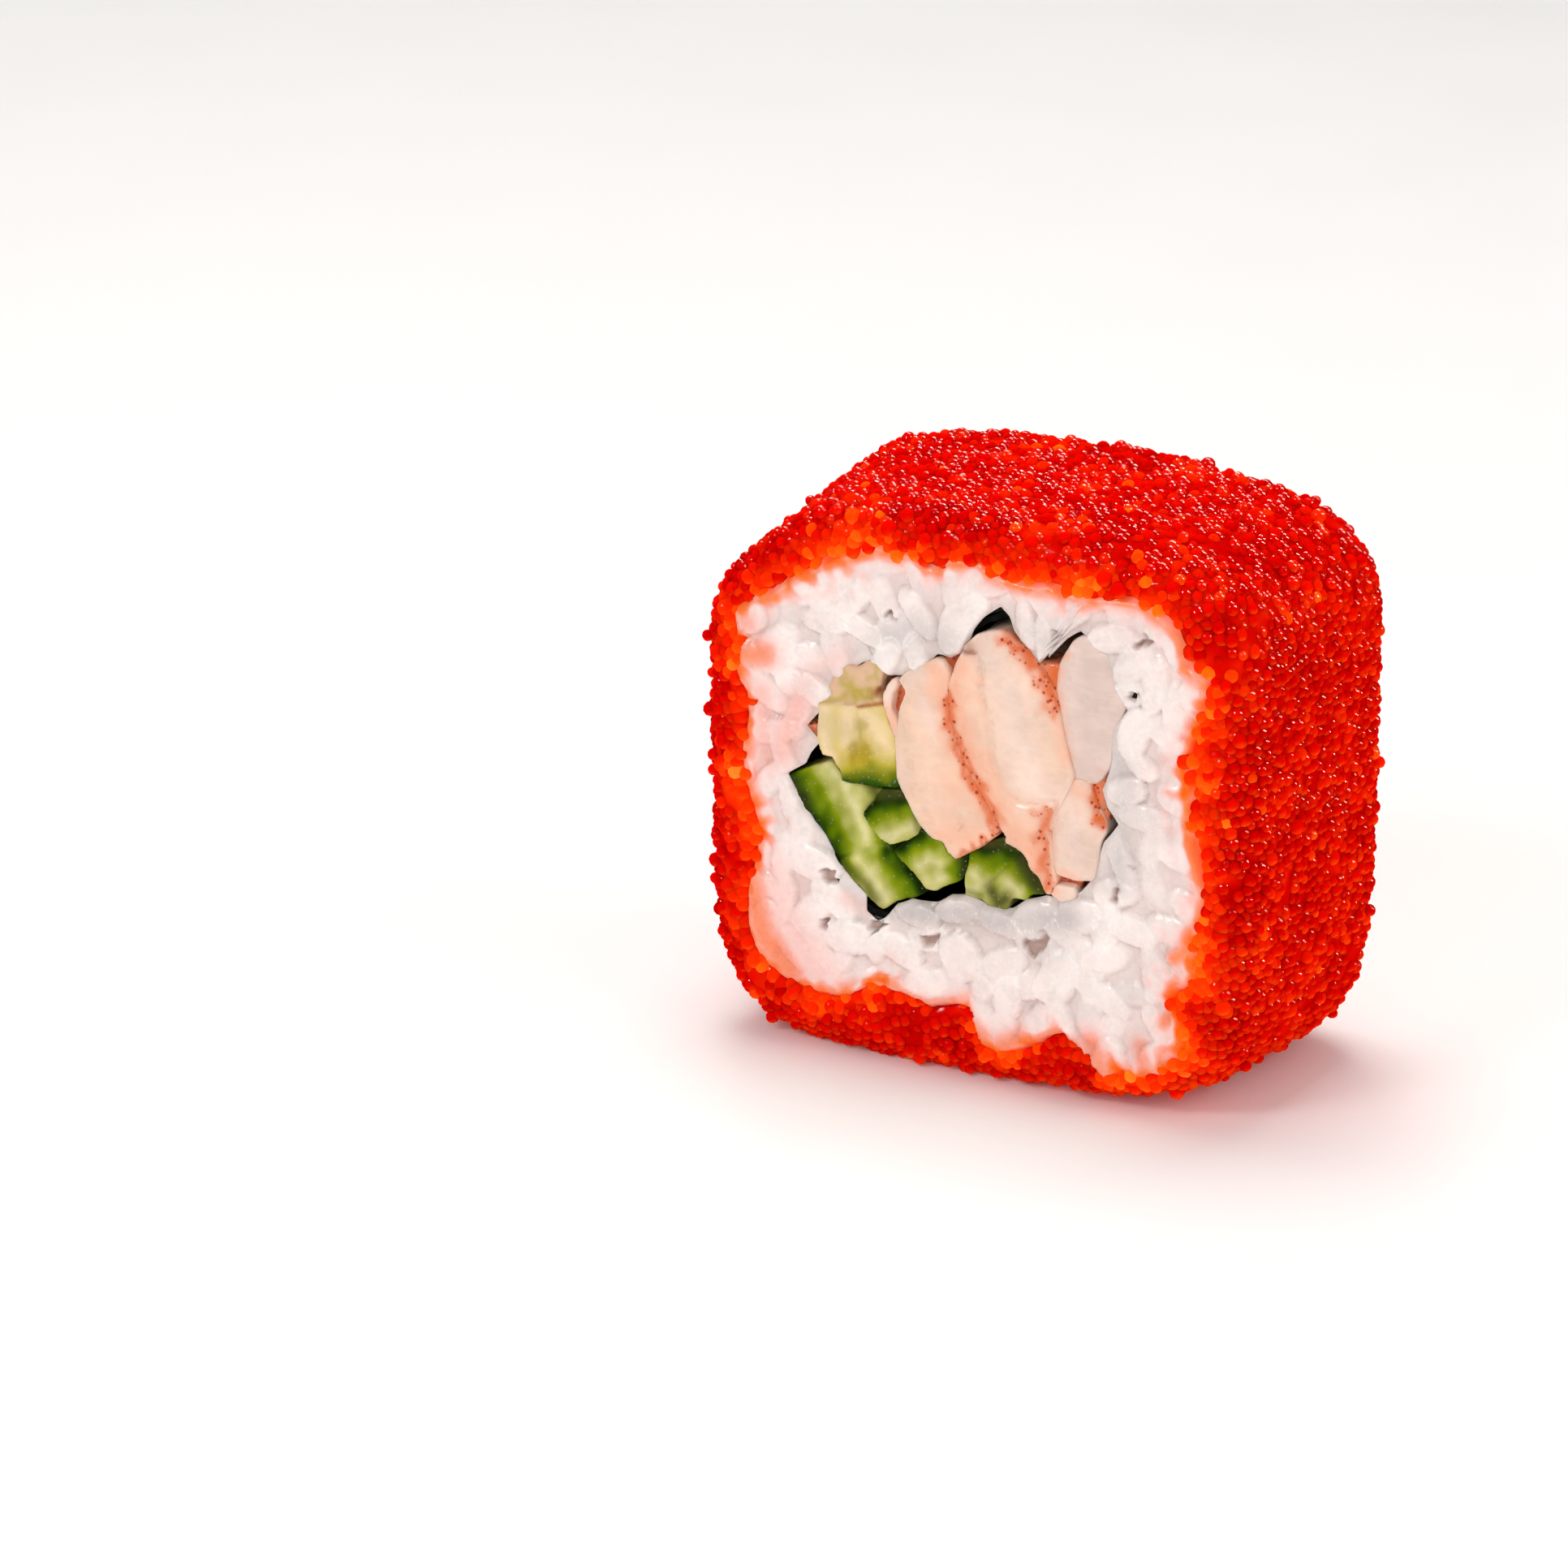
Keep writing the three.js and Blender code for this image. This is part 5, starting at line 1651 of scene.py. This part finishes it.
mesh, points, normals = softened(slabs("shrimp_scraps", [FLAP, CRUMB]), PRAWN_RUBS, SCRAP_GROW)
points += normals * (SCRAP_LUMPS * waves(points, 0.9, 77))[:, None]
zero = np.zeros(len(points))
blush = painted(as_seen(points), SCRAP_BLUSH)
scrap_values = {"blush": blush, "grey": zero + 0.3, "white": zero + 0.5}
scrap_values.update(skin=zero, dark=zero, rim=zero)
add_piece("shrimp_scraps", dress(mesh, points, scrap_values), prawn_material)

# %% [markdown]
# ## Cucumber
# The sticks are cut from the rind inwards: dark green skin on the outside, bright green below it, and
# pale, watery flesh in the middle. Some lines in the section say where the skin runs and others where the
# flesh is palest. The colour at a point depends on how far it is on its way from one to the other.

# %% Cucumber
CUCUMBER = {
    "cucumber_long": {
        "ends": (0.75, 0.7),
        "outline": [
            (-14.65, -0.5), (-14.3, -1.1), (-13.6, -2.2), (-13.2, -2.9), (-12.5, -3.45), (-11.9, -4.0),
            (-11.2, -4.9), (-10.7, -5.8), (-10.0, -6.8), (-9.0, -7.7), (-8.0, -8.5), (-7.2, -9.0),
            (-6.75, -9.2), (-6.3, -8.8), (-5.9, -8.5), (-5.0, -8.1), (-4.2, -7.8), (-3.3, -7.2),
            (-4.1, -6.3), (-4.9, -5.6), (-5.7, -5.0), (-6.2, -4.5), (-7.1, -4.0), (-7.6, -3.5),
            (-8.0, -2.9), (-8.4, -2.35), (-7.9, -1.7), (-7.3, -1.0), (-6.9, -0.3), (-8.8, -0.1),
            (-10.2, 0.2), (-10.6, 0.6), (-11.1, 0.95), (-11.6, 0.8), (-12.1, 0.5), (-12.6, 0.4),
            (-13.2, 0.1), (-13.9, -0.2), (-14.2, -0.45),
        ],
        "skin": [[(-14.6, -0.5), (-13.3, -2.9), (-12.0, -4.0), (-11.0, -5.2), (-10.3, -6.2)],
                 [(-6.0, -4.7), (-4.9, -5.8), (-3.6, -7.0)]],
        "pale": [[(-11.4, 0.7), (-10.4, 0.0), (-9.4, -1.4), (-8.6, -3.2), (-8.2, -4.2)],
                 [(-8.8, -5.8), (-7.6, -7.0), (-6.6, -8.4)]],
        "sunk": [([(-10.2, -6.0), (-9.0, -5.3), (-7.6, -4.7), (-6.6, -4.5)], 0.14, 0.2)],
        "dark": [([(-9.8, -6.5), (-9.2, -6.9), (-8.2, -7.6), (-7.4, -8.6)], 0.5, 0.6),
                 ([(-14.2, -0.9), (-13.0, -2.4)], 0.6, 0.5), ([(-7.6, -0.5), (-7.2, -0.9)], 0.5, 0.7)],
    },
    "cucumber_small": {
        "ends": (0.30, 0.9),
        "outline": [
            (-8.5, -2.35), (-8.0, -1.8), (-7.4, -1.0), (-7.0, -0.3), (-6.2, -0.15), (-5.3, -0.15),
            (-4.9, -0.8), (-4.4, -1.7), (-4.0, -2.3), (-4.0, -3.0), (-4.7, -3.5), (-5.6, -3.95),
            (-6.25, -4.35), (-7.1, -4.0), (-7.6, -3.5), (-7.9, -3.1),
        ],
        "skin": [[(-8.4, -2.2), (-7.4, -1.4), (-6.4, -0.9), (-5.0, -0.7)]],
        "pale": [[(-7.0, -3.8), (-5.8, -3.4), (-4.6, -2.7)]],
        "sunk": [],
        "dark": [([(-7.2, -0.6), (-5.2, -0.3)], 0.5, 0.9), ([(-4.3, -1.8), (-4.1, -2.8)], 0.25, 0.5)],
    },
    "cucumber_middle": {
        "ends": (0.50, 0.4),
        "outline": [
            (-4.0, -3.0), (-4.1, -2.6), (-3.6, -2.75), (-3.0, -3.05), (-2.2, -3.3), (-1.9, -3.8),
            (-1.6, -4.1), (-1.0, -4.4), (-0.5, -4.1), (0.0, -3.8), (-0.05, -4.4), (-0.3, -5.3),
            (-0.7, -5.9), (-1.3, -6.2), (-2.0, -6.6), (-2.6, -7.0), (-3.1, -7.1), (-3.5, -6.8),
            (-4.1, -6.2), (-4.8, -5.7), (-5.6, -5.1), (-6.0, -4.7), (-5.4, -4.1), (-4.7, -3.5),
        ],
        "skin": [[(-5.9, -4.7), (-4.9, -3.9), (-3.8, -3.0)], [(-0.3, -4.2), (-0.5, -5.4)]],
        "pale": [[(-4.0, -5.4), (-3.2, -4.9), (-2.2, -4.8)], [(-3.2, -6.6), (-1.8, -5.8)]],
        "sunk": [],
        "dark": [([(-0.9, -4.6), (-0.4, -4.6), (-0.4, -5.4)], 0.35, 0.5)],
    },
    "cucumber_right": {
        "ends": (0.65, 0.6),
        "outline": [
            (0.0, -3.75), (0.6, -3.3), (1.2, -2.9), (2.2, -2.3), (3.0, -2.0), (3.2, -2.5), (4.2, -2.9),
            (4.45, -3.4), (4.9, -4.1), (5.4, -4.4), (5.9, -4.9), (6.2, -5.4), (5.9, -5.75), (4.9, -5.8),
            (4.6, -6.3), (3.9, -6.35), (3.3, -6.4), (3.2, -7.1), (2.9, -7.4), (2.2, -7.55), (1.6, -7.3),
            (1.1, -7.05), (0.3, -7.0), (-0.3, -6.9), (-0.35, -6.2), (-0.3, -5.4), (-0.1, -4.5),
        ],
        "skin": [[(0.8, -3.2), (2.2, -2.8), (3.6, -3.0)], [(4.2, -3.3), (4.9, -4.4), (5.8, -5.3)]],
        "pale": [[(0.2, -5.2), (0.9, -5.6), (0.6, -6.4)], [(3.2, -5.4), (3.9, -6.0)]],
        "sunk": [([(4.0, -3.0), (3.2, -4.1), (2.7, -4.5), (1.4, -5.9)], 0.13, 0.35),
                 ([(4.6, -4.4), (4.0, -5.6)], 1.0, 0.25)],
        "dark": [([(1.9, -6.2), (2.4, -7.0), (2.9, -6.6)], 0.6, 0.85), ([(0.0, -6.6), (1.0, -6.7)], 0.3, 0.5),
                 ([(4.3, -3.5), (4.7, -4.7), (5.5, -5.2)], 0.75, 0.85),
                 ([(1.4, -2.7), (3.2, -2.4)], 0.5, 0.9)],
    },
}
STICK_RUBS, STICK_GROW = 1, 0.03  # knife-cut pieces keep their edges
STICK_LUMPS, STICK_DRIFT = 0.03, 0.07
print("sticks:", list(CUCUMBER))

# %% [markdown]
# A ramp of greens follows the way from skin to pale flesh. Over it come darker places and specks of
# painted sparkle. Cut cucumber is watery, so its film is wetter than the prawn's.

# %% The cucumber's finish
cucumber_material, tree, shader = new_material("cucumber")
green = ramp(
    tree, carried(tree, "from_skin"),
    (0.0, (0.008, 0.020, 0.001)), (0.14, (0.028, 0.070, 0.001)), (0.34, (0.11, 0.18, 0.001)),
    (0.55, (0.24, 0.30, 0.006)), (0.8, (0.49, 0.48, 0.13)), (1.0, (0.68, 0.64, 0.30)),
)
patchy = use_group(tree, blotch, Color=green, Scale=600.0, Amount=0.10)
shaded = blend_colour(tree, carried(tree, "dark"), patchy["Color"], (0.055, 0.055, 0.012))
# specks of painted sparkle on the juicy flesh
watery = use_group(tree, speck, Color=shaded, Scale=2400.0, Amount=0.14)
moist = use_group(tree, film, Scale=1500.0, Dry=0.34, Wet=0.12)
set_shader(
    tree, shader, Base_Color=watery["Color"], Roughness=moist["Roughness"], IOR=1.34,
    Specular_IOR_Level=0.12, Normal=bump(tree, moist["Height"], 0.3, 0.10), Subsurface_Weight=0.1,
    Subsurface_Radius=(0.6, 1.0, 0.2), Subsurface_Scale=0.5 * MM,
)
print("cucumber has", len(tree.nodes), "nodes")

# %% [markdown]
# The sticks are made like the lobes of prawn, but they are rubbed down less, because a knife leaves crisp
# edges.

# %% The cucumber sticks
for node, strokes in CUCUMBER.items():
    near, short = strokes["ends"]
    plate = slabs(node, [(near, LENGTH - short, strokes["outline"])])
    mesh, points, normals = softened(plate, STICK_RUBS, STICK_GROW)
    flat = as_seen(points)
    lumps = STICK_LUMPS * waves(points, 0.5, 81) + STICK_LUMPS * waves(points, 1.6, 82)
    points += normals * lumps[:, None]
    points[:, 1] += facing_out(normals) * painted(flat, strokes["sunk"])
    to_skin, to_pale = least_distance(flat, strokes["skin"]), least_distance(flat, strokes["pale"])
    from_skin = np.clip(to_skin / (to_skin + to_pale) + STICK_DRIFT * waves(flat, 0.8, 83), 0, 1)
    values = {"from_skin": from_skin, "dark": painted(flat, strokes["dark"])}
    add_piece(node + "_stick", dress(mesh, points, values), cucumber_material, [node])

# %% [markdown]
# ## Avocado
# The slice of avocado goes from cream at the stone to yellow-green and dark green at its skin, which lies
# at the bottom here. Its colour is found like the cucumber's. Its knife edges are sharp, so it is a plate
# of its own outline. The soft top was mashed into the rice when the roll was pressed: there a second
# plate has lumps, the pink of the rice and smears of green.

# %% Avocado
AVOCADO_BODY = [
    (-12.1, 4.9), (-12.15, 3.0), (-12.05, 1.9), (-11.7, 1.35), (-11.35, 1.35), (-11.05, 1.5),
    (-10.75, 1.0), (-10.25, 0.35), (-10.2, -0.3), (-8.9, -0.25), (-7.0, -0.15), (-5.5, 0.05),
    (-5.85, 0.8), (-5.9, 2.2), (-5.95, 3.5), (-6.3, 4.3), (-6.6, 4.8), (-6.75, 5.6), (-7.0, 6.0),
    (-8.0, 5.75), (-9.0, 5.4), (-9.3, 5.45), (-10.2, 5.35), (-11.2, 5.1),
]
AVOCADO_MASH = [
    (-12.3, 4.9), (-11.2, 5.0), (-9.2, 5.4), (-7.1, 6.05), (-7.3, 6.6), (-7.7, 6.9), (-7.2, 7.3),
    (-7.0, 8.0), (-7.2, 8.9), (-7.9, 9.0), (-8.5, 8.7), (-9.4, 8.4), (-10.4, 8.2), (-11.0, 7.4),
    (-11.6, 6.2),
]
AVOCADO_SKIN = [[(-10.2, -0.4), (-8.0, -0.3), (-5.6, -0.1)]]
AVOCADO_CREAM = [
    [(-11.8, 4.6), (-11.5, 1.8), (-10.8, 1.3)], [(-9.8, 5.0), (-9.9, 2.6)],
    [(-8.6, 4.8), (-7.4, 3.8), (-6.6, 3.2)],
]
AVOCADO_OLIVE = [([(-9.3, 1.6), (-8.4, 2.4)], 0.8, 0.85), ([(-8.8, 3.4), (-8.6, 4.3)], 0.4, 0.5)]
AVOCADO_GREEN = [
    ([(-9.6, 6.9), (-9.2, 6.3), (-8.4, 6.5), (-7.7, 6.4)], 0.55, 0.9),
    ([(-11.9, 5.3), (-10.4, 5.7), (-9.8, 6.5)], 0.5, 0.7),
    ([(-10.1, 7.0), (-10.0, 8.3)], 0.35, 0.55), ([(-7.6, 7.8), (-7.3, 8.8)], 0.4, 0.6),
]
AVOCADO_CRACKS = [([(-9.2, 5.2), (-9.05, 4.2), (-9.0, 3.2), (-9.6, 1.6)], 0.2, 0.25)]
AVOCADO_DARK = [
    ([(-9.0, 5.45), (-8.0, 5.75), (-6.9, 6.05)], 0.14, 0.9), ([(-7.6, 6.7), (-7.2, 7.0)], 0.3, 0.8),
]
MASH_LINE = ((-12.1, -9.2, -7.0), (4.95, 5.45, 6.05))  # x and z of the line above which it is mashed
SLICE_LUMPS, SLICE_GRAIN, MASH_LUMPS = 0.03, 0.02, 0.14
SLICE_DRIFT = 0.05
print("the slice has", len(AVOCADO_BODY), "corners and the mash", len(AVOCADO_MASH))

# %% [markdown]
# The avocado's ramp is yellower than the cucumber's, and its film is drier, because its flesh is buttery.
# The mash lies over it in the colour of stained rice, then the smears of green and the brown line where
# mash and slice meet.

# %% The avocado's finish
avocado_material, tree, shader = new_material("avocado")
ripe = ramp(
    tree, carried(tree, "from_skin"),
    (0.0, (0.014, 0.048, 0.001)), (0.12, (0.04, 0.10, 0.001)), (0.3, (0.18, 0.205, 0.002)),
    (0.5, (0.50, 0.42, 0.04)), (0.75, (0.74, 0.57, 0.22)), (1.0, (0.83, 0.64, 0.38)),
)
olive = blend_colour(tree, carried(tree, "olive"), ripe, (0.42, 0.29, 0.004))
patchy = use_group(tree, blotch, Color=olive, Scale=420.0, Amount=0.08)
# specks: pale flecks of the flesh, partly painted sparkle
creamy = use_group(tree, speck, Color=patchy["Color"], Scale=2600.0, Amount=0.22)
mashed = blend_colour(tree, carried(tree, "mash"), creamy["Color"], (0.76, 0.50, 0.33))
smeared = blend_colour(tree, carried(tree, "green"), mashed, (0.50, 0.38, 0.05))
browned = blend_colour(tree, carried(tree, "dark"), smeared, (0.40, 0.10, 0.02))
moist = use_group(tree, film, Scale=1500.0, Dry=0.5, Wet=0.25)
set_shader(
    tree, shader, Base_Color=browned, Roughness=moist["Roughness"], IOR=1.4, Specular_IOR_Level=0.2,
    Normal=bump(tree, moist["Height"], 0.5, 0.15), Subsurface_Weight=0.1,
    Subsurface_Radius=(1.0, 0.9, 0.3), Subsurface_Scale=0.5 * MM,
)
print("avocado has", len(tree.nodes), "nodes")

# %% [markdown]
# Both plates become one piece. The body stays nearly flat, as the knife left it, and the mash gets lumps.

# %% The avocado slice
plates = [(0.3, LENGTH - 0.5, AVOCADO_BODY), (0.55, LENGTH - 0.7, AVOCADO_MASH)]
mesh, points, normals = softened(slabs("avocado", plates), STICK_RUBS, STICK_GROW)
flat = as_seen(points)
above = np.interp(flat[:, 0], *MASH_LINE)
mash = ease(-0.05, 0.25, flat[:, 1] - above)
lumps = SLICE_LUMPS * waves(points, 1.0, 91) + SLICE_GRAIN * waves(points, 0.4, 92)
lumps += MASH_LUMPS * mash * waves(points, 0.8, 93)
points += normals * lumps[:, None]
points[:, 1] += facing_out(normals) * painted(flat, AVOCADO_CRACKS)
to_skin, to_cream = least_distance(flat, AVOCADO_SKIN), least_distance(flat, AVOCADO_CREAM)
from_skin = to_skin / (to_skin + to_cream) + SLICE_DRIFT * waves(flat, 0.8, 94)
ragged = shaken_by(flat, RAGGED, 0.6, 95)
values = {
    "from_skin": np.clip(from_skin, 0, 1), "olive": painted(ragged, AVOCADO_OLIVE), "mash": mash,
    "green": painted(ragged, AVOCADO_GREEN) * mash, "dark": painted(flat, AVOCADO_DARK),
}
add_piece("avocado_slice", dress(mesh, points, values), avocado_material, ["avocado"])

# %% [markdown]
# ## The end

# %% The end
print("the roll is built")
